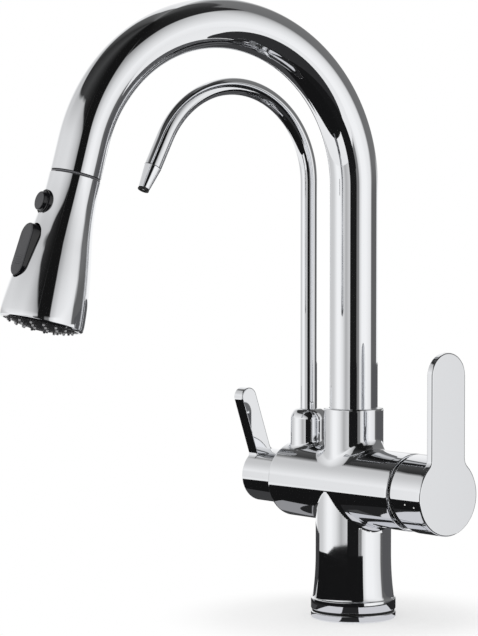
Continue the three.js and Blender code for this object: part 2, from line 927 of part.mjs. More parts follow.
const buttonSpring = ring(
  springInner,
  springOuter,
  springFloor + seatGap,
  buttonFloor + seatGap / 2,
  tinySides,
);
piece(headFrame, "button_spring", steel, facingFront(buttonSpring, buttonStation));

// Rocker: a pill whose outer face is prouder at its upper end, on a pin, with a lug to the diverter

function makeRocker() {
  const half = rockerLength / 2;
  const top = headRadius(rockerStation - half) + rockerProudTop;
  const bottom = headRadius(rockerStation + half) + rockerProudBottom;
  const pill = stadiumPrism(rockerWidth, rockerLength, rockerBase, top + overrun);
  const side = new THREE.Shape();
  side.moveTo(-half, rockerBase + rockerRelief);
  side.lineTo(0, rockerBase);
  side.lineTo(half, rockerBase + rockerRelief);
  side.lineTo(half, top);
  side.lineTo(-half, bottom);
  side.closePath();
  const slope = Math.atan2(top - bottom, rockerLength);
  const ribs = [];
  for (let i = 0; i < rockerRibCount; i += 1) {
    const along = rockerWidth / 2 - half + i * rockerRibPitch;
    const height = bottom + (along + half) * Math.tan(slope);
    const rib = block(rockerWidth - rockerPinRise * 2, rockerRibPitch / 2, 2 * rockerRibHeight);
    ribs.push(rib.rotateX(slope).translate(0, along, height));
  }
  const lugTop = rockerBase + rockerPinRise / 2;
  const lug = disc(rockerLugRadius, rockerLugReach, lugTop, tinySides);
  const solid = overlap(pill, crossPrism(side, -rockerWidth, rockerWidth));
  return cut(join(solid, ...ribs, lug), rockerPinSolid(rockerPinRadius + seatGap, 2 * rockerWidth));
}

piece(headFrame, "mode_rocker", greyPlastic, facingFront(makeRocker(), rockerStation));
const rockerPin = rockerPinSolid(rockerPinRadius, rockerPinLength);
piece(headFrame, "rocker_pin", steel, facingFront(rockerPin, rockerStation));

// The diverter spool slides along the channel, with the rocker's lug between its two collars
const spoolEnd = diverterLength / 2;
const grooveHalf = rockerLugRadius + runGap;
const spool = revolve(
  [
    [connectorBore - seatGap, -spoolEnd],
    [diverterRadius, -spoolEnd],
    [diverterRadius, -grooveHalf],
    [diverterWaist, -grooveHalf],
    [diverterWaist, grooveHalf],
    [diverterRadius, grooveHalf],
    [diverterRadius, spoolEnd],
    [connectorBore - seatGap, spoolEnd],
  ],
  smallSides,
);
piece(headFrame, "diverter_spool", whitePlastic, spool.translate(0, 0, -rockerStation));

// Thin spout for filtered water: tube, O-ring and clip on its tail, tapered outlet and its dark ring

const thinSpout = new THREE.Group();
thinSpout.position.x = -thinCollarOffset;
thinSpout.rotation.z = thinRestTurn;
faucet.add(thinSpout);

const thinBottom = thinCollarTop - thinTailDepth;
const thinLine = new Gooseneck(
  thinTubeSteps,
  thinBottom,
  thinBendHeight,
  thinBendRadius,
  thinBendAngle,
  thinEndLength,
);
const thinSection = circleShape(thinRadius, thinTubeSides, thinRadius - thinWall, thinBoreSides);
piece(thinSpout, "filter_spout_tube", chrome, sweep(thinSection, thinLine));

const thinORingInner = thinRadius + seatGap;
const thinORing = roundRing(
  thinORingInner,
  thinORingInner + oRingWidth,
  (thinBushTop + thinBushBottom) / 2,
  oRingHeight,
  smallSides,
);
piece(thinSpout, "filter_spout_o_ring", rubber, thinORing);
const thinClipTop = thinBushBottom - seatGap;
const thinClip = ring(
  thinORingInner,
  thinBushRadius - seatGap,
  thinClipTop - clipThickness,
  thinClipTop,
  smallSides,
);
piece(thinSpout, "filter_spout_clip", steel, thinClip);

const outletFrame = new THREE.Group();
outletFrame.position.copy(thinLine.getPoint(1));
outletFrame.rotation.x = thinBendAngle - Math.PI;
thinSpout.add(outletFrame);

const outletEnd = -seatGap - outletTaperLength;
const outlet = revolve(
  [
    [outletBoreRadius, -seatGap],
    [thinRadius, -seatGap],
    [outletTipRadius, outletEnd],
    [outletBoreRadius, outletEnd],
  ],
  thinTubeSides,
);
piece(outletFrame, "filter_outlet", chrome, outlet);
const outletRing = ring(
  outletBoreRadius - seatGap,
  outletTipRadius,
  outletEnd - seatGap - outletRingHeight,
  outletEnd - seatGap,
  thinTubeSides,
);
piece(outletFrame, "filter_outlet_ring", rubber, outletRing);

// Main mixing valve, from the seal at the bottom of its bore to the nut that holds it in

const cartridgeNeckEnd = crossRight + cartridgeNeckReach;
const cartridgeCavityEnd = cartridgeShoulder - cartridgeShoulderWall;
const leverPivot = crossRight + leverPivotReach;
const sealStart = cartridgeFloor + seatGap;
const cartridgeStart = sealStart + cartridgeSealThickness + seatGap;
const cavityStart = cartridgeStart + cartridgeBase;
const neckBore = cartridgeNeckRadius - cartridgeNeckWall;

const valvePorts = (low, high) => {
  const ports = [];
  const portCount = nippleNames.length - 1;
  for (let i = 0; i < portCount; i += 1) {
    const angle = (i / portCount) * 2 * Math.PI;
    const port = alongX(disc(portRadius, low, high, tinySides));
    ports.push(port.translate(0, portCircle * Math.sin(angle), portCircle * Math.cos(angle)));
  }
  return ports;
};

piece(
  valves,
  "cartridge_seal",
  rubber,
  alongX(ring(portCircle + portRadius + runGap, cartridgeRadius, sealStart, cartridgeStart - seatGap)),
);

const cartridge = alongX(
  revolve(
    [
      [0, cartridgeStart],
      [cartridgeRadius, cartridgeStart],
      [cartridgeRadius, cartridgeShoulder],
      [cartridgeNeckRadius, cartridgeShoulder],
      [cartridgeNeckRadius, cartridgeNeckEnd],
      [neckBore, cartridgeNeckEnd],
      [neckBore, cartridgeCavityEnd],
      [cartridgeCavityRadius, cartridgeCavityEnd],
      [cartridgeCavityRadius, cavityStart],
      [0, cavityStart],
    ],
    ringSides,
  ),
);
const basePorts = valvePorts(cartridgeStart - overrun, cavityStart + seatGap);
piece(valves, "mixing_cartridge", whitePlastic, cut(cartridge, ...basePorts));

const nutStart = cartridgeShoulder + seatGap;
const nutInner = cartridgeNeckRadius + seatGap;
const nutEnd = nutStart + cartridgeNutThickness;
piece(
  valves,
  "cartridge_nut",
  brass,
  alongX(ring(nutInner, cartridgeNutRadius, nutStart, nutEnd)),
);

const fixedStart = cavityStart + seatGap;
const fixedEnd = fixedStart + discThickness;
const fixedDisc = cut(
  alongX(disc(fixedDiscRadius, fixedStart, fixedEnd)),
  ...valvePorts(fixedStart - overrun, fixedEnd + overrun),
);
piece(valves, "fixed_ceramic_disc", ceramic, fixedDisc);

const movingStart = fixedEnd + seatGap;
const movingEnd = movingStart + discThickness;
piece(
  valves,
  "moving_ceramic_disc",
  ceramic,
  alongX(disc(movingDiscRadius, movingStart, movingEnd, smallSides)),
);

const carrierStart = movingEnd + seatGap;
const carrierEnd = cartridgeCavityEnd - seatGap;
const pocketStart = carrierEnd - carrierPocketDepth;
const pocket = block(2 * carrierPocketDepth, stemSize + 2 * runGap, carrierPocketHeight);
const carrier = cut(
  alongX(disc(movingDiscRadius, carrierStart, carrierEnd, smallSides)),
  pocket.translate(pocketStart + carrierPocketDepth, 0, 0),
);
piece(valves, "disc_carrier", whitePlastic, carrier);

const turretRadius = neckBore - runGap;
const turretStart = cartridgeCavityEnd + seatGap;
const turretEnd = cartridgeNeckEnd - seatGap;
const pivotHole = (radius, length) =>
  disc(radius, -length / 2, length / 2, tinySides).rotateX(Math.PI / 2).translate(leverPivot, 0, 0);
const turret = cut(
  alongX(ring(turretRadius - turretWall, turretRadius, turretStart, turretEnd)),
  pivotHole(stemPinRadius + seatGap, 2 * drumRadius),
);
piece(valves, "temperature_turret", whitePlastic, turret);
piece(valves, "stem_pin", steel, pivotHole(stemPinRadius, turretPinLength));

const stemStart = leverPivot - stemInnerLength;
const stemEnd = leverPivot + stemOuterLength;
const stemLength = stemEnd - stemStart;
const stem = cut(
  block(stemLength, stemSize, stemSize).translate(stemStart + stemLength / 2, 0, 0),
  pivotHole(stemPinRadius + seatGap, 2 * stemSize),
);
piece(valves, "lever_stem", brass, stem);

// Main lever: a hollow drum with a flat blade rising from its face, cut back below so that it can tilt

const drumStart = crossRight + drumGap;
const leverFace = drumStart + drumLength;
const leverBossStart = drumStart + leverBossInset;
const grubStation = leverPivot + grubReach;

function bladeShape(halfWidth, top, rootRadius, filletRadius) {
  const across = halfWidth + filletRadius;
  const reach = rootRadius + filletRadius;
  const centreHeight = Math.sqrt(reach * reach - across * across);
  const rootAngle = Math.atan2(centreHeight, across);
  const shape = new THREE.Shape();
  shape.moveTo(-rootRadius * Math.cos(rootAngle), 0);
  shape.lineTo(rootRadius * Math.cos(rootAngle), 0);
  shape.lineTo(rootRadius * Math.cos(rootAngle), rootRadius * Math.sin(rootAngle));
  shape.absarc(across, centreHeight, filletRadius, Math.PI + rootAngle, Math.PI, true);
  shape.absarc(0, top - halfWidth, halfWidth, 0, Math.PI);
  shape.absarc(-across, centreHeight, filletRadius, 0, -rootAngle, true);
  shape.closePath();
  return shape;
}

function makeLever() {
  const inner = drumRadius - drumWall;
  const faceInside = leverFace - drumFaceWall;
  const drum = alongX(
    revolve(
      [
        [0, leverFace],
        [drumRadius - drumEdge, leverFace],
        [drumRadius, leverFace - drumEdge],
        [drumRadius, drumStart],
        [inner, drumStart],
        [inner, faceInside],
        [0, faceInside],
      ],
      bodySides,
    ),
  );
  const boss = alongX(disc(leverBossRadius, leverBossStart, faceInside + seatGap, smallSides));
  const blade = crossPrism(
    bladeShape(bladeWidth / 2, bladeTop, drumRadius, bladeShoulderRadius),
    leverFace - bladeThickness,
    leverFace,
  );
  const bladeFoot = alongX(disc(inner, leverFace - drumFaceWall - overrun, faceInside));
  const reach = (drumRadius + overrun) / drumRadius;
  const wedge = new THREE.Shape();
  wedge.moveTo(drumStart - overrun, 0);
  wedge.lineTo(drumStart, 0);
  wedge.lineTo(drumStart + drumReliefDepth * reach, -drumRadius * reach);
  wedge.lineTo(drumStart - overrun, -drumRadius * reach);
  wedge.closePath();
  const relief = lengthwisePrism(wedge, drumRadius + overrun);
  const socketSize = stemSize + 2 * seatGap;
  const socketLength = stemEnd + seatGap - leverBossStart + overrun;
  const socket = block(socketLength, socketSize, socketSize);
  const socketMiddle = stemEnd + seatGap - socketLength / 2;
  const solid = join(drum, cut(blade, bladeFoot), boss);
  return cut(
    solid,
    relief,
    socket.translate(socketMiddle, 0, 0),
    disc(grubRadius + seatGap, -drumRadius - overrun, 0, tinySides).translate(grubStation, 0, 0),
  );
}

piece(valves, "main_lever", chrome, makeLever());

const grubTop = -stemSize / 2 - seatGap;
const grub = disc(grubRadius, grubTop - grubLength, grubTop, tinySides);
piece(valves, "lever_grub_screw", steel, grub.translate(grubStation, 0, 0));
const plugBottom = -drumRadius + seatGap;
const plug = disc(grubRadius, plugBottom, plugBottom + plugThickness, tinySides);
piece(valves, "lever_plug", greyPlastic, plug.translate(grubStation, 0, 0));

// Filtered-water valve: housing, two ceramic discs, nut, and the spindle that its lever turns

const thinHubStart = crossLeft + thinHubGap;
const thinHubEnd = thinHubStart + thinHubLength;
const thinHubBossStart = thinHubStart + thinHubBossInset;
const thinValveNutEnd = thinValveNutStart + thinValveNutThickness;
const thinSpindleEnd = thinHubEnd - thinSpindleEndInset;
const thinGrubStation = thinHubStart + thinGrubInset;
const housingBase = -thinValveInner - discThickness;
const housing = alongX(
  revolve(
    [
      [0, -thinValveInner],
      [thinValveRadius, -thinValveInner],
      [thinValveRadius, -thinValveNutStart],
      [thinValveBore, -thinValveNutStart],
      [thinValveBore, housingBase],
      [0, housingBase],
    ],
    ringSides,
  ),
);
const halfPort = (high, low) =>
  alongX(disc(portRadius, low, high, tinySides)).translate(0, 0, thinDiscRadius / 2);
piece(
  valves,
  "filter_valve_housing",
  brass,
  cut(housing, halfPort(-thinValveInner + overrun, housingBase - seatGap)),
);
const thinFixedStart = housingBase - seatGap;
const thinFixedEnd = thinFixedStart - discThickness;
piece(
  valves,
  "filter_fixed_disc",
  ceramic,
  cut(
    alongX(disc(thinDiscRadius, thinFixedEnd, thinFixedStart, smallSides)),
    halfPort(thinFixedStart + overrun, thinFixedEnd - overrun),
  ),
);
const thinMovingStart = thinFixedEnd - seatGap;
const thinMovingEnd = thinMovingStart - discThickness;
piece(
  valves,
  "filter_moving_disc",
  ceramic,
  cut(
    alongX(disc(thinDiscRadius, thinMovingEnd, thinMovingStart, smallSides)),
    halfPort(thinMovingStart + overrun, thinMovingEnd - overrun),
  ),
);
const flangeStart = thinMovingEnd - seatGap;
const spindle = alongX(
  revolve(
    [
      [0, -thinSpindleEnd],
      [thinSpindleRadius, -thinSpindleEnd],
      [thinSpindleRadius, flangeStart - discThickness],
      [thinDiscRadius, flangeStart - discThickness],
      [thinDiscRadius, flangeStart],
      [0, flangeStart],
    ],
    smallSides,
  ),
);
piece(valves, "filter_spindle", brass, spindle);
const thinNut = ring(
  thinSpindleRadius + runGap,
  thinValveRadius,
  -thinValveNutEnd,
  -thinValveNutStart - seatGap,
);
piece(valves, "filter_valve_nut", brass, alongX(thinNut));

// Filtered-water lever: a hollow hub with a square-edged blade, turned part open

function makeThinLever() {
  const inner = thinHubRadius - thinHubWall;
  const inside = thinHubWall - thinHubEnd;
  const hub = alongX(
    revolve(
      [
        [0, -thinHubEnd],
        [thinHubRadius - thinHubEdge, -thinHubEnd],
        [thinHubRadius, thinHubEdge - thinHubEnd],
        [thinHubRadius, -thinHubStart],
        [inner, -thinHubStart],
        [inner, inside],
        [0, inside],
      ],
      bodySides,
    ),
  );
  const boss = alongX(disc(thinHubBossRadius, inside - seatGap, -thinHubBossStart, smallSides));
  const half = thinLeverWidth / 2;
  const root = (inner + thinHubRadius) / 2;
  const shape = new THREE.Shape();
  shape.moveTo(-half - thinLeverFlare, root - thinHubWall / 2);
  shape.lineTo(half + thinLeverFlare, root - thinHubWall / 2);
  shape.lineTo(half, thinHubRadius + thinLeverFlare);
  shape.absarc(0, thinLeverTop - half, half, 0, Math.PI);
  shape.lineTo(-half, thinHubRadius + thinLeverFlare);
  shape.closePath();
  const blade = crossPrism(shape, -thinHubEnd, thinLeverThickness - thinHubEnd);
  const hollow = alongX(disc(inner, inside, -thinHubStart + overrun, bodySides));
  const socket = disc(thinSpindleRadius + seatGap, -thinSpindleEnd - seatGap, 0, smallSides);
  const grubHole = disc(grubRadius + seatGap, -thinHubRadius - overrun, 0, tinySides);
  const bladed = join(hub, cut(blade.rotateX(thinLeverTilt), hollow), boss);
  return cut(bladed, alongX(socket), grubHole.translate(-thinGrubStation, 0, 0));
}

piece(valves, "filter_lever", chrome, makeThinLever());

const thinGrubTop = -thinSpindleRadius - seatGap;
const thinGrub = disc(grubRadius, thinGrubTop - grubLength, thinGrubTop, tinySides);
piece(valves, "filter_lever_grub_screw", steel, thinGrub.translate(-thinGrubStation, 0, 0));

export default faucet;
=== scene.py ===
# %% [markdown]
# A three-way kitchen faucet in polished chrome, with a pull-out spray head.
# The pieces already exist as plain, faceted solids at their real size,
# each on the body that it moves with. Loading them first gives every new surface a place to sit,
# so nothing has to be fitted by eye afterwards.

# %% Load the frame
import json
import math
import bpy
import bmesh
import numpy as np
from mathutils import Matrix, Vector

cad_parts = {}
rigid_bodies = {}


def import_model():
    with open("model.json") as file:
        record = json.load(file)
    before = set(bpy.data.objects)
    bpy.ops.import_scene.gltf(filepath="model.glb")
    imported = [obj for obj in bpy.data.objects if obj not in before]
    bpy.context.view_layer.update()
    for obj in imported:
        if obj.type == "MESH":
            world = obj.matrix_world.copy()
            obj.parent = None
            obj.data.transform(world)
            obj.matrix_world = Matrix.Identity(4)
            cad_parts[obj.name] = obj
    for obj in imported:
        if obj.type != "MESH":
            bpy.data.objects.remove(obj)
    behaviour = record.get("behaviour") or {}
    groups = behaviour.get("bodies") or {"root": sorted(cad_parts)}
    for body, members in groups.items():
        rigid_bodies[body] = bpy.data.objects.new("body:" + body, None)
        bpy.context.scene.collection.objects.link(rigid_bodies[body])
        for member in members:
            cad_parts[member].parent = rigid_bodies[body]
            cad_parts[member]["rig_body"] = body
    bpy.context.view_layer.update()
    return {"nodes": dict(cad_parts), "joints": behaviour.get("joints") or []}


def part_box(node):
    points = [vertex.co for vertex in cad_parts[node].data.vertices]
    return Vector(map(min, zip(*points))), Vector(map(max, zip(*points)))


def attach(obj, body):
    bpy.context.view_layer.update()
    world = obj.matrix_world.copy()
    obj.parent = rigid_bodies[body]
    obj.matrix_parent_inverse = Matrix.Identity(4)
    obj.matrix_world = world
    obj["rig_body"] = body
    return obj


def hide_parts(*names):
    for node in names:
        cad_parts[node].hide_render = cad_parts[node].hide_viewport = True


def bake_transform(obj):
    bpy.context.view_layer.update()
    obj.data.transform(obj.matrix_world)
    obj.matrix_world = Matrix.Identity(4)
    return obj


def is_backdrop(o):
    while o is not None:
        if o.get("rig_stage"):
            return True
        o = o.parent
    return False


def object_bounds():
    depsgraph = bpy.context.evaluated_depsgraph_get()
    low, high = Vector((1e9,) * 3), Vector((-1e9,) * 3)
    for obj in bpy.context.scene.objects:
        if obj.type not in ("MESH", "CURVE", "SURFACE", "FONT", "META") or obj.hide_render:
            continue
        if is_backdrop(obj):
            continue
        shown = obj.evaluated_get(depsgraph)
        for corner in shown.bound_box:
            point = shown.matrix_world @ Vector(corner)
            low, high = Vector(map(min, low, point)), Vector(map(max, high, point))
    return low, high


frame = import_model()
joints = {joint["name"]: joint for joint in frame["joints"]}

# %% [markdown]
# Fittings are drawn in millimetres, while Blender works in metres.
# All shapes below are therefore built in millimetres, and one function scales them into metres.
# The faucet's main sizes are read from the boxes of its solids.

# %% Units and measures
MM = 0.001
DOWN, UP, AHEAD = Vector((0, 0, -1)), Vector((0, 0, 1)), Vector((0, -1, 0))


def box_mm(name):
    low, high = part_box(name)
    return np.array(low) / MM, np.array(high) / MM


def joint_place(name):
    return Vector(joints[name]["pos_m"]) / MM


def joint_axis(name):
    return Vector(joints[name]["axis"]).normalized()


body_low, body_high = box_mm("body_casting")
valve_height = joint_place("temperature_turn").z
thin_riser_x = joint_place("filter_spout_swivel").x
seam = joint_place("head_swivel")
head_axis = joint_axis("head_swivel")
print("cross body at", round(valve_height, 2), "mm, seam at", [round(v, 2) for v in seam])

# %% [markdown]
# A product photographer stands well back, so that the risers stay parallel and the head isn't swollen.
# The camera here is 1.4 m away, just above the middle of the faucet, with a long lens.
# Its place and turn are set directly instead of by aiming at a point,
# because a picture is framed by both.

# %% Camera
CAMERA_AZIMUTH = math.radians(47.98)
CAMERA_DISTANCE = 1.3971
CAMERA_HEIGHT = 0.23084
CAMERA_YAW = math.radians(-2.74)
CAMERA_PITCH = math.radians(-2.29)
FOCAL_PIXELS, PICTURE_WIDTH, SENSOR_WIDTH = 2400, 478, 36


def new_object(name, data):
    thing = bpy.data.objects.new(name, data)
    bpy.context.collection.objects.link(thing)
    return thing


towards_camera = Vector((math.sin(CAMERA_AZIMUTH), -math.cos(CAMERA_AZIMUTH), 0))
camera_data = bpy.data.cameras.new("camera")
camera_data.sensor_fit = "HORIZONTAL"
camera_data.sensor_width = SENSOR_WIDTH
camera_data.lens = SENSOR_WIDTH * FOCAL_PIXELS / PICTURE_WIDTH
camera = new_object("camera", camera_data)
camera.location = towards_camera * CAMERA_DISTANCE + UP * CAMERA_HEIGHT
camera.rotation_euler = (math.pi / 2 + CAMERA_PITCH, 0, CAMERA_AZIMUTH - CAMERA_YAW)
bpy.context.scene.camera = camera
print("camera at", [round(v, 3) for v in camera.location], "m")

# %% [markdown]
# Materials are trees of nodes, and a few small functions make the nodes that come up again and again.
# A socket gets either a value or a link, so one function feeds it with whichever it is given.


# %% Node helpers
def new_group(name, inputs, outputs):
    group = bpy.data.node_groups.new(name, "ShaderNodeTree")
    for label, value in inputs.items():
        socket = group.interface.new_socket(label, in_out="INPUT", socket_type="NodeSocketFloat")
        socket.default_value = value
    for label in outputs:
        group.interface.new_socket(label, in_out="OUTPUT", socket_type="NodeSocketFloat")
    source = group.nodes.new("NodeGroupInput")
    sink = group.nodes.new("NodeGroupOutput")
    return group, source, sink


def feed(tree, socket, value):
    if isinstance(value, bpy.types.NodeSocket):
        tree.links.new(value, socket)
    else:
        socket.default_value = value


def math_node(tree, operation, first, second):
    node = tree.nodes.new("ShaderNodeMath")
    node.operation = operation
    feed(tree, node.inputs[0], first)
    feed(tree, node.inputs[1], second)
    return node.outputs[0]


def mix_node(tree, factor, first, second):
    node = tree.nodes.new("ShaderNodeMix")
    node.data_type = "RGBA"
    colours = [socket for socket in node.inputs if socket.type == "RGBA"]
    feed(tree, colours[0], first)
    feed(tree, colours[1], second)
    feed(tree, node.inputs["Factor"], factor)
    return [socket for socket in node.outputs if socket.type == "RGBA"][0]


def noise_node(tree, scale, detail):
    place = tree.nodes.new("ShaderNodeTexCoord")
    noise = tree.nodes.new("ShaderNodeTexNoise")
    feed(tree, noise.inputs["Vector"], place.outputs["Object"])
    feed(tree, noise.inputs["Scale"], scale)
    noise.inputs["Detail"].default_value = detail
    return noise.outputs["Fac"]


# %% [markdown]
# Several finishes share the same small effects, so each effect is a node group with named sockets.
# The first is the faint haze that polished plate gets from wiping: it changes roughness by a hair.
# The second is a fine moulded grain, a height that a Bump node turns into texture.
# The third is the ring pattern that a lathe tool leaves on turned brass and steel.


# %% Shared effects
def make_haze_group():
    inputs = {"Roughness": 0.05, "Haze": 0.02, "Scale": 30.0}
    group, source, sink = new_group("wiping_haze", inputs, ("Roughness",))
    cloud = noise_node(group, source.outputs["Scale"], 3)
    amount = math_node(group, "MULTIPLY", cloud, source.outputs["Haze"])
    total = math_node(group, "ADD", source.outputs["Roughness"], amount)
    group.links.new(total, sink.inputs["Roughness"])
    return group


def make_grain_group():
    group, source, sink = new_group("moulded_grain", {"Scale": 2500.0}, ("Height", "Mask"))
    grain = noise_node(group, source.outputs["Scale"], 1)
    cloud = noise_node(group, 60.0, 2)
    group.links.new(grain, sink.inputs["Height"])
    group.links.new(cloud, sink.inputs["Mask"])
    return group


def make_turning_group():
    group, source, sink = new_group("turning_rings", {"Scale": 900.0}, ("Height", "Mask"))
    place = group.nodes.new("ShaderNodeTexCoord")
    wave = group.nodes.new("ShaderNodeTexWave")
    wave.bands_direction = "Z"
    wave.inputs["Distortion"].default_value = 0.4
    group.links.new(place.outputs["Object"], wave.inputs["Vector"])
    group.links.new(source.outputs["Scale"], wave.inputs["Scale"])
    cloud = noise_node(group, 90.0, 3)
    group.links.new(wave.outputs["Fac"], sink.inputs["Height"])
    group.links.new(cloud, sink.inputs["Mask"])
    return group


haze_group = make_haze_group()
grain_group = make_grain_group()
turning_group = make_turning_group()
print("node groups:", [group.name for group in bpy.data.node_groups])

# %% [markdown]
# Every finish starts from one Principled shader, with its constant values set on its own sockets.
# What varies over the surface comes from a group:
# roughness on plate, bump on plastic, rings on turned metal.
# Chrome is a pure metal with a slightly cool tint, and its look is made by what it reflects.


# %% Finishes
def new_finish(name, colour, metallic, roughness):
    material = bpy.data.materials.new(name)
    material.use_nodes = True
    shader = material.node_tree.nodes["Principled BSDF"]
    shader.inputs["Base Color"].default_value = (*colour, 1)
    shader.inputs["Metallic"].default_value = metallic
    shader.inputs["Roughness"].default_value = roughness
    return material, shader


def place_group(material, group, **values):
    node = material.node_tree.nodes.new("ShaderNodeGroup")
    node.node_tree = group
    for label, value in values.items():
        node.inputs[label].default_value = value
    return node


def add_bump(material, shader, height, depth_mm, strength=1.0):
    bump = material.node_tree.nodes.new("ShaderNodeBump")
    bump.inputs["Strength"].default_value = strength
    bump.inputs["Distance"].default_value = depth_mm * MM
    material.node_tree.links.new(height, bump.inputs["Height"])
    material.node_tree.links.new(bump.outputs["Normal"], shader.inputs["Normal"])


def add_shades(material, shader, mask, dark, light):
    shades = mix_node(material.node_tree, mask, (*dark, 1), (*light, 1))
    material.node_tree.links.new(shades, shader.inputs["Base Color"])


RING_DEPTH, RING_STRENGTH = 0.02, 0.4


def polished(name, colour, roughness, haze):
    material, shader = new_finish(name, colour, 1, roughness)
    node = place_group(material, haze_group, Roughness=roughness, Haze=haze)
    material.node_tree.links.new(node.outputs["Roughness"], shader.inputs["Roughness"])
    return material


def turned(name, dark, light, roughness):
    material, shader = new_finish(name, light, 1, roughness)
    node = place_group(material, turning_group)
    add_bump(material, shader, node.outputs["Height"], RING_DEPTH, RING_STRENGTH)
    add_shades(material, shader, node.outputs["Mask"], dark, light)
    return material


def moulded(name, dark, light, roughness, grain_scale, grain_mm):
    material, shader = new_finish(name, light, 0, roughness)
    node = place_group(material, grain_group, Scale=grain_scale)
    add_bump(material, shader, node.outputs["Height"], grain_mm)
    add_shades(material, shader, node.outputs["Mask"], dark, light)
    return material


# %% [markdown]
# Now the finishes themselves. Plated chrome, turned brass and steel are metals, the rest is moulded.
# A moulded finish has a darker and a lighter shade, a roughness, and the size and depth of its grain,
# because real plastic and rubber are never one flat colour.

# %% List of finishes
chrome = polished("polished_chrome", (0.87, 0.88, 0.9), 0.025, 0.02)
brass = turned("turned_brass", (0.5, 0.36, 0.16), (0.72, 0.55, 0.27), 0.3)
steel = turned("turned_steel", (0.45, 0.46, 0.48), (0.66, 0.67, 0.69), 0.28)
MOULDED_FINISHES = {
    "black_plastic": ((0.008, 0.008, 0.009), (0.016, 0.016, 0.018), 0.35, 2500.0, 0.01),
    "grey_plastic": ((0.032, 0.032, 0.035), (0.07, 0.07, 0.076), 0.5, 2200.0, 0.03),
    "gloss_black": ((0.004, 0.004, 0.005), (0.008, 0.008, 0.009), 0.12, 1500.0, 0.002),
    "seam_grey": ((0.1, 0.1, 0.11), (0.17, 0.17, 0.18), 0.4, 2200.0, 0.01),
    "white_plastic": ((0.7, 0.7, 0.67), (0.82, 0.82, 0.79), 0.45, 2000.0, 0.01),
    "black_rubber": ((0.01, 0.01, 0.01), (0.022, 0.022, 0.022), 0.7, 1800.0, 0.03),
    "nozzle_rubber": ((0.012, 0.012, 0.013), (0.03, 0.03, 0.032), 0.3, 1800.0, 0.01),
    # painted highlight: a light grey for the nubs' tips, so that they show as bright specks
    "nub_tip_painted_highlight": ((0.32, 0.32, 0.33), (0.45, 0.45, 0.46), 0.35, 2500.0, 0.005),
    "white_ceramic": ((0.8, 0.79, 0.74), (0.88, 0.87, 0.83), 0.12, 3000.0, 0.001),
}
(
    black_plastic, grey_plastic, gloss_black, seam_grey, white_plastic, black_rubber, nozzle_rubber,
    nub_tip_painted_highlight, white_ceramic,
) = [moulded(name, *values) for name, values in MOULDED_FINISHES.items()]

print(len(bpy.data.materials), "materials")

# %% [markdown]
# Most of a faucet is turned or bent, so most shapes are rings of points joined into skins.
# A lathe outline is a list of corners, each with a radius, a height and a fillet.
# Real edges are never sharp, and even a fillet of half a millimetre catches a bright line of light.

# %% Outlines
FULL_TURN = 2 * math.pi
FILLET_STEPS = 5


def rounded(corners):
    points = []
    for index, (radius, height, fillet) in enumerate(corners):
        here = np.array((radius, height), float)
        if fillet <= 0:
            points.append(here)
            continue
        before = np.array(corners[index - 1][:2]) - here
        after = np.array(corners[(index + 1) % len(corners)][:2]) - here
        before /= np.linalg.norm(before)
        after /= np.linalg.norm(after)
        half = math.acos(np.clip(before @ after, -1, 1)) / 2
        middle = (before + after) / np.linalg.norm(before + after)
        centre = here + middle * fillet / math.sin(half)
        reach = fillet / math.tan(half)
        start = here + before * reach - centre
        end = here + after * reach - centre
        first = math.atan2(start[1], start[0])
        turn = (math.atan2(end[1], end[0]) - first + math.pi) % FULL_TURN - math.pi
        for step in range(FILLET_STEPS + 1):
            angle = first + turn * step / FILLET_STEPS
            points.append(centre + fillet * np.array((math.cos(angle), math.sin(angle))))
    return points


def divided(points, step):
    fine = []
    for start, end in zip(points, points[1:]):
        count = max(1, math.ceil(np.linalg.norm(np.subtract(end, start)) / step))
        fine += [np.array(start) + (np.array(end) - start) * i / count for i in range(count)]
    return fine + [np.array(points[-1])]


# %% [markdown]
# A skin joins each ring of points to the next. Where a ring is a single point, its quads become triangles.
# A lathe turns an outline into rings, as a potter or a machinist would turn the real part.
# Blender's Spin tool does the same, but a function keeps the outline as the only thing to edit.

# %% Lathes and skins
LATHE_SIDES = 128
AXIS_RADIUS = 1e-6


def skin(rings, closed=False):
    verts, faces, rows = [], [], []
    for ring in rings:
        rows.append(range(len(verts), len(verts) + len(ring)))
        verts += [tuple(point) for point in ring]
    pairs = list(zip(rows, rows[1:])) + ([(rows[-1], rows[0])] if closed else [])
    for low, high in pairs:
        sides = max(len(low), len(high))
        for k in range(sides):
            n = (k + 1) % sides
            corners = [low[k % len(low)], low[n % len(low)], high[n % len(high)], high[k % len(high)]]
            face = list(dict.fromkeys(corners))
            if len(face) > 2:
                faces.append(face)
    return verts, faces


def circle(radius, sides, turn=0.0):
    angles = np.arange(sides) * FULL_TURN / sides + turn
    return np.stack((radius * np.cos(angles), radius * np.sin(angles)), 1)


def lathe(outline, sides=LATHE_SIDES, turn=0.0):
    rings = []
    for radius, height in outline:
        if radius < AXIS_RADIUS:
            rings.append([(0, 0, height)])
        else:
            rings.append([(x, y, height) for x, y in circle(radius, sides, turn)])
    return skin(rings, closed=outline[0][0] > AXIS_RADIUS)


def turned_ring(inner, outer, low, high, fillet=0.2, sides=LATHE_SIDES):
    corners = [(inner, low), (outer, low), (outer, high), (inner, high)]
    return lathe(rounded([(*corner, fillet) for corner in corners]), sides)


def joined_shapes(*shapes):
    verts, faces = [], []
    for more_verts, more_faces in shapes:
        faces += [[index + len(verts) for index in face] for face in more_faces]
        verts += more_verts
    return verts, faces


def moved_shape(shape, matrix):
    verts, faces = shape
    return [tuple(matrix @ Vector(v)) for v in verts], faces


# %% [markdown]
# One function turns a shape into a piece: it makes the mesh, smooths it up to its creases,
# puts it on the body that moves it and hides the solid it stands for.
# A weighted normal keeps flat faces flat right up to their small fillets.

# %% Making a piece
CREASE = 35


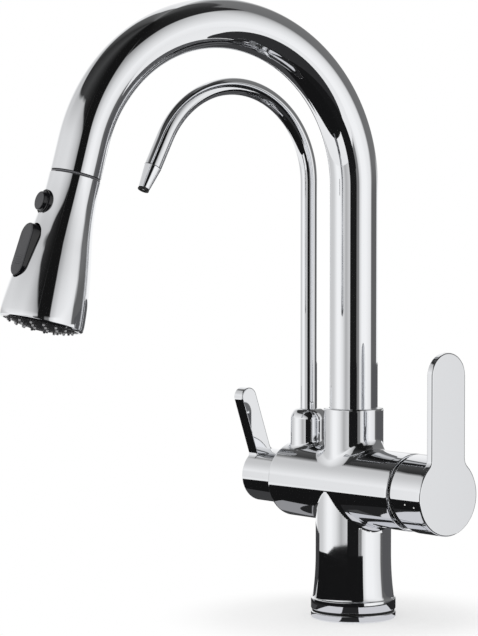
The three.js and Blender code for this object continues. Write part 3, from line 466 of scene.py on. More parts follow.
def to_mesh(name, shape):
    verts, faces = shape
    mesh = bpy.data.meshes.new(name)
    mesh.from_pydata([tuple(c * MM for c in v) for v in verts], [], faces)
    edit = bmesh.new()
    edit.from_mesh(mesh)
    bmesh.ops.recalc_face_normals(edit, faces=edit.faces)
    edit.to_mesh(mesh)
    edit.free()
    return mesh


def smooth(mesh, crease):
    mesh.shade_smooth()
    mesh.set_sharp_from_angle(angle=math.radians(crease))


def add_piece(name, mesh, finish, nodes=(), body=None, crease=CREASE, weighted=True):
    piece = new_object(name, mesh)
    smooth(mesh, crease)
    mesh.materials.clear()
    mesh.materials.append(finish)
    mesh.polygons.foreach_set("material_index", [0] * len(mesh.polygons))
    if weighted:
        piece.modifiers.new("flat faces stay flat", "WEIGHTED_NORMAL").keep_sharp = True
    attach(piece, body or frame["nodes"][nodes[0]]["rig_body"])
    if nodes:
        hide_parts(*nodes)
    return piece


def make_piece(name, shape, finish, nodes=(), body=None, place=None, weighted=True):
    mesh = to_mesh(name, moved_shape(shape, place) if place else shape)
    return add_piece(name, mesh, finish, nodes, body, weighted=weighted)


def turned_piece(name, corners, sides, finish, nodes=(), place=None):
    return make_piece(name, lathe(rounded(corners), sides), finish, nodes, place=place)


def along_x(height):
    return Matrix.Translation((0, 0, height)) @ Matrix.Rotation(math.pi / 2, 4, "Y")


# %% [markdown]
# The body is a brass casting: a column with a flared foot, a cross tube for both valves and two collars.
# After casting it is ground and plated, so the tubes flow into each other with soft, uneven fillets.
# Its sizes come first: radii and heights, and the fillets where each tube meets the cross tube.

# %% Sizes of the body
COLUMN_RADIUS, FOOT_RADIUS, FLARE_RADIUS = 22.0, 24.7, 23.6
FOOT_BAND_TOP, FLARE_TOP = 12.3, 38.0
MAIN_COLLAR_RADIUS, THIN_COLLAR_RADIUS, THIN_NECK_RADIUS = 17.4, 10.9, 6.4
THIN_SHOULDER_HEIGHT, THIN_COLLAR_TOP = 113.0, 120.0
MAIN_FILLET, THIN_FILLET, COLUMN_FILLET = 6.0, 2.2, 3.2
CROSS_RADIUS = 22.2
GRID = 1.0
body_bottom, collar_top = body_low[2], body_high[2]
cross_left, cross_right = body_low[0], body_high[0]
print("body from", round(body_bottom, 2), "to", round(collar_top, 2), "mm")


# %% [markdown]
# Each tube of the casting is turned from its own outline. Near the seams its points are a millimetre
# apart at most, because the seams can only be rounded later if there are points to move.
# The foot's flare is a parabola, and the thin collar's shoulder is a quarter of an ellipse.


# %% Outlines of the body
def column_outline():
    flare_start = FOOT_BAND_TOP + 1
    band = rounded([
        (0, body_bottom, 0), (FOOT_RADIUS, body_bottom, 0.6), (FOOT_RADIUS, FOOT_BAND_TOP, 0.7),
        (FLARE_RADIUS + 0.2, FOOT_BAND_TOP, 0.25), (FLARE_RADIUS, flare_start, 0),
    ])
    flare = []
    for share in np.linspace(0, 1, 25)[1:]:
        height = flare_start + (FLARE_TOP - flare_start) * share
        flare.append((COLUMN_RADIUS + (FLARE_RADIUS - COLUMN_RADIUS) * (1 - share) ** 2, height))
    straight = divided([flare[-1], (COLUMN_RADIUS, valve_height)], GRID)[1:]
    return band + flare + straight + [(0, valve_height)]


def cross_outline():
    corners = [(0, cross_left, 0), (CROSS_RADIUS, cross_left, 0.8)]
    corners += [(CROSS_RADIUS, cross_right, 0.8), (0, cross_right, 0)]
    return divided(rounded(corners), GRID)


def main_collar_outline():
    corners = [(0, valve_height, 0), (MAIN_COLLAR_RADIUS, valve_height, 0)]
    corners += [(MAIN_COLLAR_RADIUS, collar_top, 0.7), (0, collar_top, 0)]
    return divided(rounded(corners), GRID)


def thin_collar_outline():
    outline = [(0, valve_height), (THIN_COLLAR_RADIUS, valve_height)]
    shoulder_width = THIN_COLLAR_RADIUS - THIN_NECK_RADIUS
    shoulder_rise = THIN_COLLAR_TOP - THIN_SHOULDER_HEIGHT
    for angle in np.linspace(0, math.pi / 2, 17):
        radius = THIN_NECK_RADIUS + shoulder_width * math.cos(angle)
        outline.append((radius, THIN_SHOULDER_HEIGHT + shoulder_rise * math.sin(angle)))
    return divided(outline + [(0, THIN_COLLAR_TOP)], GRID)


# %% [markdown]
# A boolean modifier unites the tubes, and its result is taken over as a plain mesh each time.
# Each tube is turned about its own axis by a hair more than the one before, so that no two facets
# lie in one plane, which is what booleans fail on.

# %% United body
HAIR = 0.01


def temporary(name, shape, place=None):
    return new_object(name, to_mesh(name, moved_shape(shape, place) if place else shape))


def combine(base, tools, operation):
    for tool in tools:
        step = base.modifiers.new(operation, "BOOLEAN")
        step.operation = operation
        step.solver = "MANIFOLD"
        step.object = tool
        graph = bpy.context.evaluated_depsgraph_get()
        mesh = bpy.data.meshes.new_from_object(base.evaluated_get(graph))
        base.modifiers.clear()
        base.data = mesh
        bpy.data.objects.remove(tool)
    return base


def taken_mesh(piece):
    mesh = piece.data
    bpy.data.objects.remove(piece)
    return mesh


thin_place = Matrix.Translation((thin_riser_x, 0, 0))
body = temporary("body_column", lathe(column_outline(), 144))
body = combine(body, [
    temporary("cross", lathe(cross_outline(), 144, HAIR), along_x(valve_height)),
    temporary("main_collar", lathe(main_collar_outline(), 128, 2 * HAIR)),
    temporary("thin_collar", lathe(thin_collar_outline(), 96, 3 * HAIR), thin_place),
], "UNION")
print("united body:", len(body.data.vertices), "points")


# %% [markdown]
# The casting is hollow: valves, inlets and both risers sit in bores, and some of these can be seen.
# A bore is a cylinder that is subtracted. It overruns an open end, so that no thin film stays there.
# Parts that rest against each other keep a small gap, and parts that turn keep a slightly larger one.


# %% Bores of the body
def bore(name, radius, low, high, place=None, sides=96):
    corners = [(0, low), (radius, low), (radius, high), (0, high)]
    return temporary(name, lathe(corners, sides, 1.5 * HAIR), place)


OVERRUN, GAP, RUN_GAP = 5, 0.3, 0.4
SPOUT_RADIUS, SPOUT_BOTTOM, THIN_RADIUS, THIN_BOTTOM = 14.0, 97.7, 5.0, 96.0
CASTING_WALL, HOSE_PASSAGE, SHANK_CLEARANCE = 2.6, 13, 16.3
VALVE_BORE, NUT_BORE, THIN_VALVE_BORE = 17.6, 19.7, 12.3
inlet_top = box_mm("inlet_block")[1][2]
shank_top = box_mm("mounting_shank")[1][2]
bush_low, bush_high = box_mm("main_spout_bush")
thin_bush_low, thin_bush_high = box_mm("filter_spout_bush")
cartridge_low, cartridge_high = box_mm("mixing_cartridge")
nut_low, nut_high = box_mm("cartridge_nut")
seal_low, seal_high = box_mm("cartridge_seal")
housing_low, housing_high = box_mm("filter_valve_housing")
bush_radius = (bush_high[0] - bush_low[0]) / 2
thin_bush_radius = (thin_bush_high[0] - thin_bush_low[0]) / 2
across = along_x(valve_height)
body = combine(body, [
    bore("column_bore", COLUMN_RADIUS - CASTING_WALL, shank_top + GAP, inlet_top + GAP),
    bore("hose_passage", HOSE_PASSAGE, inlet_top, SPOUT_BOTTOM),
    bore("shank_seat", SHANK_CLEARANCE, body_bottom - OVERRUN, valve_height),
    bore("valve_bore", VALVE_BORE, seal_low[0] - GAP, cross_right + OVERRUN, across),
    bore("nut_bore", NUT_BORE, nut_low[0] - 2 * GAP, cross_right + OVERRUN, across),
    bore("thin_valve_bore", THIN_VALVE_BORE, cross_left - OVERRUN, housing_high[0] + GAP, across),
    bore("spout_bore", SPOUT_RADIUS + RUN_GAP, SPOUT_BOTTOM, collar_top + OVERRUN),
    bore("bush_seat", bush_radius + GAP, SPOUT_BOTTOM - GAP, bush_high[2] + GAP),
    bore("thin_bore", THIN_RADIUS + RUN_GAP, valve_height, THIN_COLLAR_TOP + OVERRUN, thin_place),
    bore("thin_bush_seat", thin_bush_radius + GAP, valve_height, thin_bush_high[2] + GAP, thin_place),
], "DIFFERENCE")
print("bored body:", len(body.data.vertices), "points")


# %% [markdown]
# Where two tubes of a casting meet, the seam is a soft fillet. A bevel on such a boolean seam pinches,
# so the fillets are made by a formula instead: every point near a seam moves onto a blended distance field.
# A field is a function that says how far each point lies outside a tube.
# Its slope also gives the exact normal there, which keeps the reflections clean.

# %% Distance fields
SEAM_DEPTH, SETTLE_STEPS, SETTLE_SHARE = 0.2, 12, 0.9


def cross_field(p):
    return np.hypot(p[:, 1], p[:, 2] - valve_height) - CROSS_RADIUS


def riser_field(x, radius):
    return lambda p: np.hypot(p[:, 0] - x, p[:, 1]) - radius


def slope(field, p, step=1e-3):
    parts = []
    for axis in range(3):
        shift = np.zeros(3)
        shift[axis] = step
        parts.append((field(p + shift) - field(p - shift)) / (2 * step))
    return np.stack(parts, 1)


def blended(first, second, fillet):
    def field(p):
        a, b = first(p), second(p)
        cosine = np.sum(slope(first, p) * slope(second, p), 1)
        radius = np.maximum(fillet * (1 - cosine ** 2), 1e-3)
        inner = np.hypot(np.maximum(radius - a, 0), np.maximum(radius - b, 0))
        return np.maximum(radius, np.minimum(a, b)) - inner
    return field


def blend_seam(points, normals, second, fillet, chosen):
    near = chosen & (cross_field(points) < fillet) & (second(points) < fillet)
    near &= (cross_field(points) > -SEAM_DEPTH) & (second(points) > -SEAM_DEPTH)
    field = blended(cross_field, second, fillet)
    moving = points[near]
    for _ in range(SETTLE_STEPS):
        gradient = slope(field, moving)
        length = np.maximum(np.sum(gradient ** 2, 1), 0.2)
        moving -= gradient * (field(moving) / length)[:, None] * SETTLE_SHARE
    points[near] = moving
    gradient = slope(field, moving)
    normals[near] = gradient / np.linalg.norm(gradient, axis=1)[:, None]


# %% [markdown]
# The column meets the cross tube from below and both collars from above,
# so each fillet only moves points on its own side.
# The normals found on the way become custom normals, and all other points keep their own.


# %% Cast body
def mesh_points(mesh):
    points = np.empty(len(mesh.vertices) * 3)
    mesh.vertices.foreach_get("co", points)
    return points.reshape(-1, 3)


edit = bmesh.new()
edit.from_mesh(body.data)
bmesh.ops.triangulate(edit, faces=[face for face in edit.faces if len(face.verts) > 4])
edit.to_mesh(body.data)
edit.free()
points = mesh_points(body.data) / MM
normals = np.zeros_like(points)
above = points[:, 2] > valve_height
blend_seam(points, normals, riser_field(0, MAIN_COLLAR_RADIUS), MAIN_FILLET, above)
blend_seam(points, normals, riser_field(thin_riser_x, THIN_COLLAR_RADIUS), THIN_FILLET, above)
blend_seam(points, normals, riser_field(0, COLUMN_RADIUS), COLUMN_FILLET, ~above)
body.data.vertices.foreach_set("co", (points * MM).ravel())
body_mesh = taken_mesh(body)
add_piece("cast_body", body_mesh, chrome, ["body_casting"], weighted=False)
body_mesh.normals_split_custom_set_from_vertices([tuple(normal) for normal in normals])
print("blended points:", int(np.sum(np.any(normals != 0, axis=1))))

# %% [markdown]
# Under the foot lie a polished ring and a thin dark seal, which show as a second, narrow band.
# Both are turned parts, and their small edge fillets draw the fine lines round the base.
# A rubber gasket lies against the deck, hidden in a pocket of the ring.

# %% Base ring, seal and gasket
ring_low, ring_high = box_mm("base_ring")
gasket_low, gasket_high = box_mm("deck_gasket")
pocket_radius, pocket_top = gasket_high[0] + GAP, gasket_high[2] + GAP
turned_piece("base_ring_turned", [
    (SHANK_CLEARANCE, pocket_top, 0), (pocket_radius, pocket_top, 0),
    (pocket_radius, 0, 0.1), (FOOT_RADIUS, 0, 1.3), (FOOT_RADIUS, ring_high[2], 0.7),
    (SHANK_CLEARANCE, ring_high[2], 0),
], 144, chrome, ["base_ring"])
base_seal_low, base_seal_high = box_mm("base_seal")
base_seal_shape = turned_ring(SHANK_CLEARANCE, base_seal_high[0], base_seal_low[2], base_seal_high[2])
make_piece("base_seal_ring", base_seal_shape, black_rubber, ["base_seal"])
gasket_shape = turned_ring(SHANK_CLEARANCE, gasket_high[0], 0, gasket_high[2], 0.4)
make_piece("deck_gasket_ring", gasket_shape, black_rubber, ["deck_gasket"])
print("base ring from 0 to", round(ring_high[2], 2), "mm, seal up to", round(base_seal_high[2], 2), "mm")

# %% [markdown]
# Both spouts are tubes bent in one plane: a straight riser, one round bend and a short straight end.
# A curve object with a round bevel would do, but its end caps and wall can't be shaped.
# A sweep of circles along the centre line gives the outer wall, the inner wall and both ends in one skin.


# %% Goosenecks
def gooseneck(bottom, bend_height, bend_radius, bend_angle, end_length, step):
    total = bend_height - bottom + bend_radius * bend_angle + end_length
    places = np.linspace(0, total, max(2, math.ceil(total / step)) + 1)
    line = []
    for distance in places:
        along = distance - (bend_height - bottom)
        if along <= 0:
            line.append(((0, bottom + distance), (0, 1)))
            continue
        angle = min(along / bend_radius, bend_angle)
        past = max(along - bend_radius * bend_angle, 0)
        reach = bend_radius * (1 - math.cos(angle)) + past * math.sin(angle)
        height = bend_height + bend_radius * math.sin(angle) + past * math.cos(angle)
        line.append(((reach, height), (math.sin(angle), math.cos(angle))))
    return line


def swept_tube(line, outer, inner, sides):
    def ring(place, tangent, radius):
        across_line = (-tangent[1], tangent[0])
        points = []
        for x, y in circle(radius, sides):
            points.append((x, -(place[0] + across_line[0] * y), place[1] + across_line[1] * y))
        return points
    rings = [ring(place, tangent, outer) for place, tangent in line]
    rings += [ring(place, tangent, inner) for place, tangent in reversed(line)]
    return skin(rings, closed=True)


# %% [markdown]
# The wide spout is a tube of 28 mm with a wall of 1.4 mm, the slim one has 10 mm and 0.9 mm.
# The wide one is turned towards the side that the spray head's axis points to.

# %% Both spouts
BEND_HEIGHT, BEND_RADIUS, END_LENGTH, DOCK_GAP, SPOUT_WALL = 251.0, 90.7, 20.3, 1.5, 1.4
main_turn = math.atan2(head_axis.x, -head_axis.y)
main_place = Matrix.Rotation(main_turn, 4, "Z")
bend_angle = math.acos(head_axis.dot(UP))
main_line = gooseneck(SPOUT_BOTTOM, BEND_HEIGHT, BEND_RADIUS, bend_angle, END_LENGTH - DOCK_GAP, 3.0)
main_tube = swept_tube(main_line, SPOUT_RADIUS, SPOUT_RADIUS - SPOUT_WALL, 96)
make_piece("main_spout", main_tube, chrome, ["main_spout_tube"], place=main_place, weighted=False)

THIN_BEND_HEIGHT, THIN_BEND_RADIUS, THIN_END_LENGTH, THIN_WALL = 253.9, 55.3, 19.0, 0.9
thin_angle = math.radians(153)
thin_spout_place = thin_place @ Matrix.Rotation(math.radians(-2), 4, "Z")
thin_line = gooseneck(THIN_BOTTOM, THIN_BEND_HEIGHT, THIN_BEND_RADIUS, thin_angle, THIN_END_LENGTH, 2.5)
thin_tube = swept_tube(thin_line, THIN_RADIUS, THIN_RADIUS - THIN_WALL, 64)
make_piece("thin_spout", thin_tube, chrome, ["filter_spout_tube"], place=thin_spout_place, weighted=False)
print("main spout turned", round(math.degrees(main_turn), 2), "degrees")

# %% [markdown]
# The thin spout ends in a short taper and a dark ring, where the water leaves.
# The taper is turned on a lathe in its own frame, and the frame is then put at the end of the tube.


# %% Outlet of the thin spout
def end_frame(line, turn_place, angle):
    (reach, height), _ = line[-1]
    tilt = Matrix.Rotation(angle - math.pi, 4, "X")
    return turn_place @ Matrix.Translation((0, -reach, height)) @ tilt


OUTLET_LENGTH, OUTLET_TIP_RADIUS, OUTLET_BORE, TIP_RING_LENGTH = 13.5, 3.3, 2.2, 1.1
outlet_place = end_frame(thin_line, thin_spout_place, thin_angle)
outlet_bottom = -GAP - OUTLET_LENGTH
turned_piece("thin_outlet", [
    (OUTLET_BORE, -GAP, 0), (THIN_RADIUS, -GAP, 0.1), (OUTLET_TIP_RADIUS, outlet_bottom, 0.25),
    (OUTLET_BORE, outlet_bottom, 0),
], 64, chrome, ["filter_outlet"], outlet_place)
tip_top = outlet_bottom - GAP
tip_ring_shape = turned_ring(
    OUTLET_BORE - GAP, OUTLET_TIP_RADIUS, tip_top - TIP_RING_LENGTH, tip_top, 0.3, 64)
make_piece("thin_outlet_ring", tip_ring_shape, black_rubber, ["filter_outlet_ring"], place=outlet_place)
print("outlet", OUTLET_LENGTH, "mm long")

# %% [markdown]
# The spray head hangs from the spout's mouth. Its frame has the seam as origin, its axis as height
# and its buttons on the -Y side, so that the head can be modelled upright and then put in place.

# %% Frame of the head
head_place = end_frame(main_line, main_place, bend_angle)
head_place.translation = seam
print("head axis differs by", round((head_place.to_3x3() @ DOWN - head_axis).length, 5))

# %% [markdown]
# The head is a flared shell, slim at the neck and widest just above its rim.
# Its outline is a smooth curve through a few stations, not a chain of cones:
# chrome would show every joint. A station is a distance from the seam, as a share of the head's length.

# %% Outline of the head
HEAD_LENGTH, HEAD_WALL, HEAD_NECK, HEAD_SWELL, HEAD_RIM = 82.0, 1.5, 14.2, 23.3, 22.2
STATION_SHARES = (0, 0.14, 0.27, 0.4, 0.53, 0.68, 0.84, 0.96)
SWELL_SHARES = (0, 0.03, 0.12, 0.29, 0.51, 0.74, 0.92, 1)


def smooth_slopes(xs, ys):
    chords = np.diff(ys) / np.diff(xs)
    slopes = np.zeros(len(xs))
    slopes[1:-1] = (chords[1:] + chords[:-1]) / 2
    slopes[-1] = chords[-1] * 0.5
    return slopes


def head_radius(station):
    xs = np.array(STATION_SHARES) * HEAD_LENGTH
    ys = HEAD_NECK + (HEAD_SWELL - HEAD_NECK) * np.array(SWELL_SHARES)
    slopes = smooth_slopes(xs, ys)
    station = np.clip(station, 0, xs[-1])
    i = np.clip(np.searchsorted(xs, station) - 1, 0, len(xs) - 2)
    width = xs[i + 1] - xs[i]
    t = (station - xs[i]) / width
    return (
        ys[i] * (2 * t ** 3 - 3 * t ** 2 + 1) + ys[i + 1] * (3 * t ** 2 - 2 * t ** 3)
        + width * (slopes[i] * (t ** 3 - 2 * t ** 2 + t) + slopes[i + 1] * (t ** 3 - t ** 2))
    )


def head_side(low, high, wall, step=1.0):
    stations = np.linspace(low, high, max(2, math.ceil((high - low) / step)) + 1)
    return [(float(head_radius(s)) - wall, -float(s)) for s in stations]


SIDE_START = 0.3
rim_start = HEAD_LENGTH * STATION_SHARES[-1]
shell_outline = head_side(SIDE_START, rim_start, 0)
shell_outline += rounded([
    (HEAD_SWELL, -rim_start, 0), (HEAD_SWELL - 0.1, 1 - HEAD_LENGTH, 1.2), (HEAD_RIM, -HEAD_LENGTH, 0.3),
    (HEAD_RIM - HEAD_WALL, -HEAD_LENGTH, 0.2), (HEAD_RIM - HEAD_WALL, 2 - HEAD_LENGTH, 0),
])[1:]
shell_outline += head_side(SIDE_START, rim_start - 2, HEAD_WALL)[::-1]
shell_outline = [(HEAD_NECK - 0.25, 0.0)] + shell_outline + [(HEAD_NECK - HEAD_WALL, 0.0)]
print("shell outline:", len(shell_outline), "points")


# %% [markdown]
# Reflections on a large curved shell show every error of its normals, most of all round a hole in it.
# The head's outline is known as a formula, so its exact normals are worked out and set on the side wall.
# Corners whose face looks another way, such as the walls of the holes, keep what Blender gives them.

# %% Exact normals
AGREEMENT = 0.8


def face_data(mesh):
    face_normals = np.empty(len(mesh.polygons) * 3)
    mesh.polygons.foreach_get("normal", face_normals)
    totals = np.empty(len(mesh.polygons), int)
    mesh.polygons.foreach_get("loop_total", totals)
    corners = np.empty(len(mesh.loops), int)
    mesh.loops.foreach_get("vertex_index", corners)
    return np.repeat(face_normals.reshape(-1, 3), totals, axis=0), corners


def set_exact_normals(mesh, point_normals):
    face_normals, corners = face_data(mesh)
    wanted = point_normals[corners]
    agrees = np.sum(wanted * face_normals, 1) > AGREEMENT
    mesh.normals_split_custom_set([tuple(n) for n in np.where(agrees[:, None], wanted, 0)])


def head_normals(points):
    radius = np.hypot(points[:, 0], points[:, 1])
    station = -points[:, 2]
    on_side = (station > SIDE_START - 0.01) & (station < rim_start)
    on_side &= np.abs(radius - head_radius(station)) < 0.02
    incline = (head_radius(station + 0.01) - head_radius(station - 0.01)) / 0.02
    normals = np.stack((points[:, 0] / radius, points[:, 1] / radius, incline), 1)
    normals /= np.linalg.norm(normals, axis=1)[:, None]
    return np.where(on_side[:, None], normals, 0)


# %% [markdown]
# Two holes go through the shell's front: a round one for the button and a long one for the rocker.
# The long one is a stadium, two half circles joined by straight sides, drawn out to a prism.

# %% Stadiums and prisms
BUTTON_STATION, ROCKER_STATION = HEAD_LENGTH * 0.215, HEAD_LENGTH * 0.552
BUTTON_RADIUS, ROCKER_LENGTH, ROCKER_WIDTH, ROCKER_END_GAP = 5.7, 29.6, 13.0, 0.9


def facing_front(station):
    return Matrix.Translation((0, 0, -station)) @ Matrix.Rotation(math.pi / 2, 4, "X")


def stadium(width, length, inset=0.0, straight_steps=24, arc_steps=24):
    radius = width / 2 - inset
    side = (length - width) / 2
    points = []
    for end in (1, -1):
        for step in range(arc_steps + 1):
            angle = math.pi * step / arc_steps + (0 if end > 0 else math.pi)
            points.append((radius * math.cos(angle), end * side + radius * math.sin(angle)))
        for step in range(1, straight_steps):
            y = end * side * (1 - 2 * step / straight_steps)
            points.append((-end * radius, y))
    return points


def prism(outline, low, high):
    bottom = [(x, y, low) for x, y in outline]
    top = [(x, y, high) for x, y in outline]
    verts, faces = skin([bottom, top])
    return verts, faces + [list(range(len(outline))), list(range(len(outline), 2 * len(outline)))]


# %% [markdown]
# The shell is cut upright, in the head's own frame, and only then put in place.
# Its normals turn with it, by the same rotation.


# %% Shell of the head
def finished(base, place):
    mesh = taken_mesh(base)
    mesh.transform(Matrix.Scale(MM, 4) @ place @ Matrix.Scale(1 / MM, 4))
    return mesh


shell = temporary("shell", lathe(shell_outline, 160))
slot_outline = stadium(ROCKER_WIDTH + 2 * RUN_GAP, ROCKER_LENGTH + 2 * ROCKER_END_GAP)
shell = combine(shell, [
    bore("button_hole", BUTTON_RADIUS + RUN_GAP, 5, 30, facing_front(BUTTON_STATION)),
    temporary("rocker_slot", prism(slot_outline, 5, 35), facing_front(ROCKER_STATION)),
], "DIFFERENCE")
shell_normals = head_normals(mesh_points(shell.data) / MM)
shell_mesh = finished(shell, head_place)
shell_mesh.update()
turned_normals = shell_normals @ np.array(head_place.to_3x3()).T
add_piece("head_shell", shell_mesh, chrome, ["spray_head_shell"], weighted=False)
set_exact_normals(shell_mesh, turned_normals)
print("head shell:", len(shell_mesh.vertices), "points")

# %% [markdown]
# The button and the rocker have a matte grey face on a glossy black side.
# Painting by face direction keeps each one a single piece, as it is in the hand.


# %% Two finishes on one piece
def paint(piece, finish, direction, steepness):
    mesh = piece.data
    mesh.materials.append(finish)
    facing = direction.normalized()
    for face in mesh.polygons:
        if face.normal.dot(facing) > steepness:
            face.material_index = len(mesh.materials) - 1


# %% [markdown]
# The round button pauses the water. It is a cap on a short stem, with a step round its face,
# and it sits in a black ring that covers the edge of its hole.
# Only the button moves when it is pressed: the ring stays with the head.

# %% Round button
BUTTON_PROUD, CAP_HEIGHT, STEM_RADIUS, STEM_LENGTH, BEZEL_RADIUS = 3.2, 6.4, 2.4, 3.0, 6.9
button_shell = float(head_radius(BUTTON_STATION))
button_face = button_shell + BUTTON_PROUD
button_under = button_face - CAP_HEIGHT
stem_end = button_under - STEM_LENGTH
button_place = head_place @ facing_front(BUTTON_STATION)
front_out = head_place.to_3x3() @ AHEAD
button = turned_piece("round_button", [
    (0, stem_end, 0), (STEM_RADIUS, stem_end, 0.3), (STEM_RADIUS, button_under, 0),
    (BUTTON_RADIUS, button_under, 0.3), (BUTTON_RADIUS, button_shell + 0.6, 0.3),
    (BUTTON_RADIUS - 0.5, button_shell + 0.9, 0.2), (BUTTON_RADIUS - 0.6, button_face, 0.5),
    (0, button_face, 0),
], 96, gloss_black, ["pause_button"], button_place)
paint(button, grey_plastic, front_out, 0.9)
bezel_hole = BUTTON_RADIUS + RUN_GAP
bezel = turned_ring(bezel_hole, BEZEL_RADIUS, button_shell - 2, button_shell + 0.5, sides=96)
make_piece("button_bezel", bezel, gloss_black, body="spray_head", place=button_place)
print("button stands", BUTTON_PROUD, "mm proud")

# %% [markdown]
# The rocker switches between stream and spray. It is a pill whose face slopes:
# it stands proud at the top and sinks almost flush at the bottom. Its outline is one stadium at any inset.
# The fine finger ridges on its lower half are waves that fade out towards the sides.

# %% Outline and ridges of the rocker
ROCKER_EDGE, RIB_PITCH, RIB_COUNT, RIB_HEIGHT = 0.9, 1.3, 5, 0.35
ROCKER_DEPTH, PROUD_TOP, PROUD_BOTTOM, END_RELIEF = 7.5, 4.2, 1.4, 2.0
ROWS_STRAIGHT, ROWS_ARC, COLUMNS = 72, 20, 14
half_length = ROCKER_LENGTH / 2
rocker_base = float(head_radius(ROCKER_STATION)) - ROCKER_DEPTH
rocker_top = float(head_radius(ROCKER_STATION - half_length)) + PROUD_TOP
rocker_bottom = float(head_radius(ROCKER_STATION + half_length)) + PROUD_BOTTOM


def rocker_level(along):
    share = (along + half_length) / ROCKER_LENGTH
    return rocker_bottom + (rocker_top - rocker_bottom) * share


def ridge(x, along):
    first = ROCKER_WIDTH / 2 - half_length - RIB_PITCH
    place = (along - first) / RIB_PITCH + 0.5 * (x / ROCKER_WIDTH) ** 2
    if not 0 < place < RIB_COUNT:
        return 0.0
    fade = max(0.0, 1 - (2.6 * x / ROCKER_WIDTH) ** 4)
    return RIB_HEIGHT * fade * math.sin(math.pi * place) ** 2


def pill_ring(inset, drop):
    outline = stadium(ROCKER_WIDTH, ROCKER_LENGTH, inset, ROWS_STRAIGHT, 2 * ROWS_ARC)
    return [(x, y, rocker_level(y) - drop) for x, y in outline]


# %% [markdown]
# Below its face the rocker is a skin of stadiums, drawn in step by step over the rounded edge.
# The face is a grid of rows across the pill, from the crown at one end to the other end,
# so the ridges are real relief. Rows that shrink to one point close both ends.


# %% Skin of the rocker
def row_faces(upper, lower):
    faces = []
    for k in range(max(len(upper), len(lower)) - 1):
        corners = ((upper, k), (upper, k + 1), (lower, k + 1), (lower, k))
        face = list(dict.fromkeys(row[min(i, len(row) - 1)] for row, i in corners))
        if len(face) > 2:
            faces.append(face)
    return faces


def rocker_rings():
    relief = END_RELIEF / half_length
    base = [(x, y, rocker_base + relief * abs(y)) for x, y, _ in pill_ring(0.4, 0)]
    low = [(x, y, z + 0.4) for (x, y, _), (_, _, z) in zip(pill_ring(0, 0), base)]
    rings = [base, low]
    for angle in np.linspace(0, math.pi / 2, 7):
        inset = ROCKER_EDGE * (1 - math.cos(angle))
        rings.append(pill_ring(inset, ROCKER_EDGE * (1 - math.sin(angle))))
    return rings


def rocker_shape():
    verts, faces = skin(rocker_rings())
    crown, count = ROWS_ARC, len(pill_ring(0, 0))
    start, half = len(verts) - count, count // 2
    rows = [[start + crown]]
    for k in range(1, half):
        left, right = start + crown + k, start + (crown - k) % count
        (left_x, left_y, _), (right_x, right_y, _) = verts[left], verts[right]
        row = [left]
        for share in np.arange(1, COLUMNS) / COLUMNS:
            x, y = left_x + (right_x - left_x) * share, left_y + (right_y - left_y) * share
            row.append(len(verts))
            verts.append((x, y, rocker_level(y) + ridge(x, y)))
        rows.append(row + [right])
    rows.append([start + crown + half])
    for upper, lower in zip(rows, rows[1:]):
        faces += row_faces(upper, lower)
    return verts, faces + [list(range(count))]


# %% [markdown]
# A lug under the rocker shifts the valve inside the head, and a pin through its lower part lets it tip.
# The lug is united with the pill, and the pin's bore is cut across both.

# %% Rocker
LUG_RADIUS, LUG_END, PIN_BORE, PIN_RISE = 1.2, 4.4, 1.5, 2
rocker_place = head_place @ facing_front(ROCKER_STATION)
lug_corners = [(0, LUG_END, 0), (LUG_RADIUS, LUG_END, 0.4)]
lug_corners += [(LUG_RADIUS, rocker_base + 1, 0), (0, rocker_base + 1, 0)]
lug = temporary("rocker_lug", lathe(rounded(lug_corners), 32))
rocker = combine(temporary("rocker", rocker_shape()), [lug], "UNION")
pin_bore = bore("pin_bore", PIN_BORE, -20, 20, along_x(rocker_base + PIN_RISE), 32)
rocker = combine(rocker, [pin_bore], "DIFFERENCE")
rocker_mesh = finished(rocker, rocker_place)
rocker_piece = add_piece("spray_rocker", rocker_mesh, gloss_black, ["mode_rocker"], crease=50)
paint(rocker_piece, grey_plastic, front_out, 0.55)
print("rocker:", len(rocker_mesh.vertices), "points")

# %% [markdown]
# The spray face is a shallow dome of black rubber, set just inside the shell's rim.
# Its three rings of small nubs catch the light as tiny bright specks, so they are modelled; their outer
# halves are also painted light grey, a painted highlight for these specks.
# Each nub is a small lathe shape, carried to its place on the dome.

# %% Shapes of the nozzle plate
PLATE_RADIUS, PLATE_DEPTH, DOME_HEIGHT = 20.4, 12.0, 3.2
NUB_RADIUS, NUB_HEIGHT, NUB_TIP_SHARE = 0.8, 1.2, 0.7
NUB_RING_COUNTS, NUB_RING_SHARES = (8, 12, 16), (0.44, 0.66, 0.87)
INSERT_RADIUS, INSERT_DEPTH, CHANNEL_RADIUS = 6.0, 7.0, 3.5
plate_face = -HEAD_LENGTH + GAP
plate_top = PLATE_DEPTH - HEAD_LENGTH


def dome_level(share):
    return plate_face - DOME_HEIGHT * (1 - share ** 2)


def plate_outline():
    dome = [(PLATE_RADIUS * share, dome_level(share)) for share in np.linspace(0.985, 0, 24)]
    side = [(0, plate_top, 0), (PLATE_RADIUS, plate_top, 0.4), (PLATE_RADIUS, plate_face, 0.25)]
    return rounded(side + [(*dome[0], 0)])[:-1] + dome


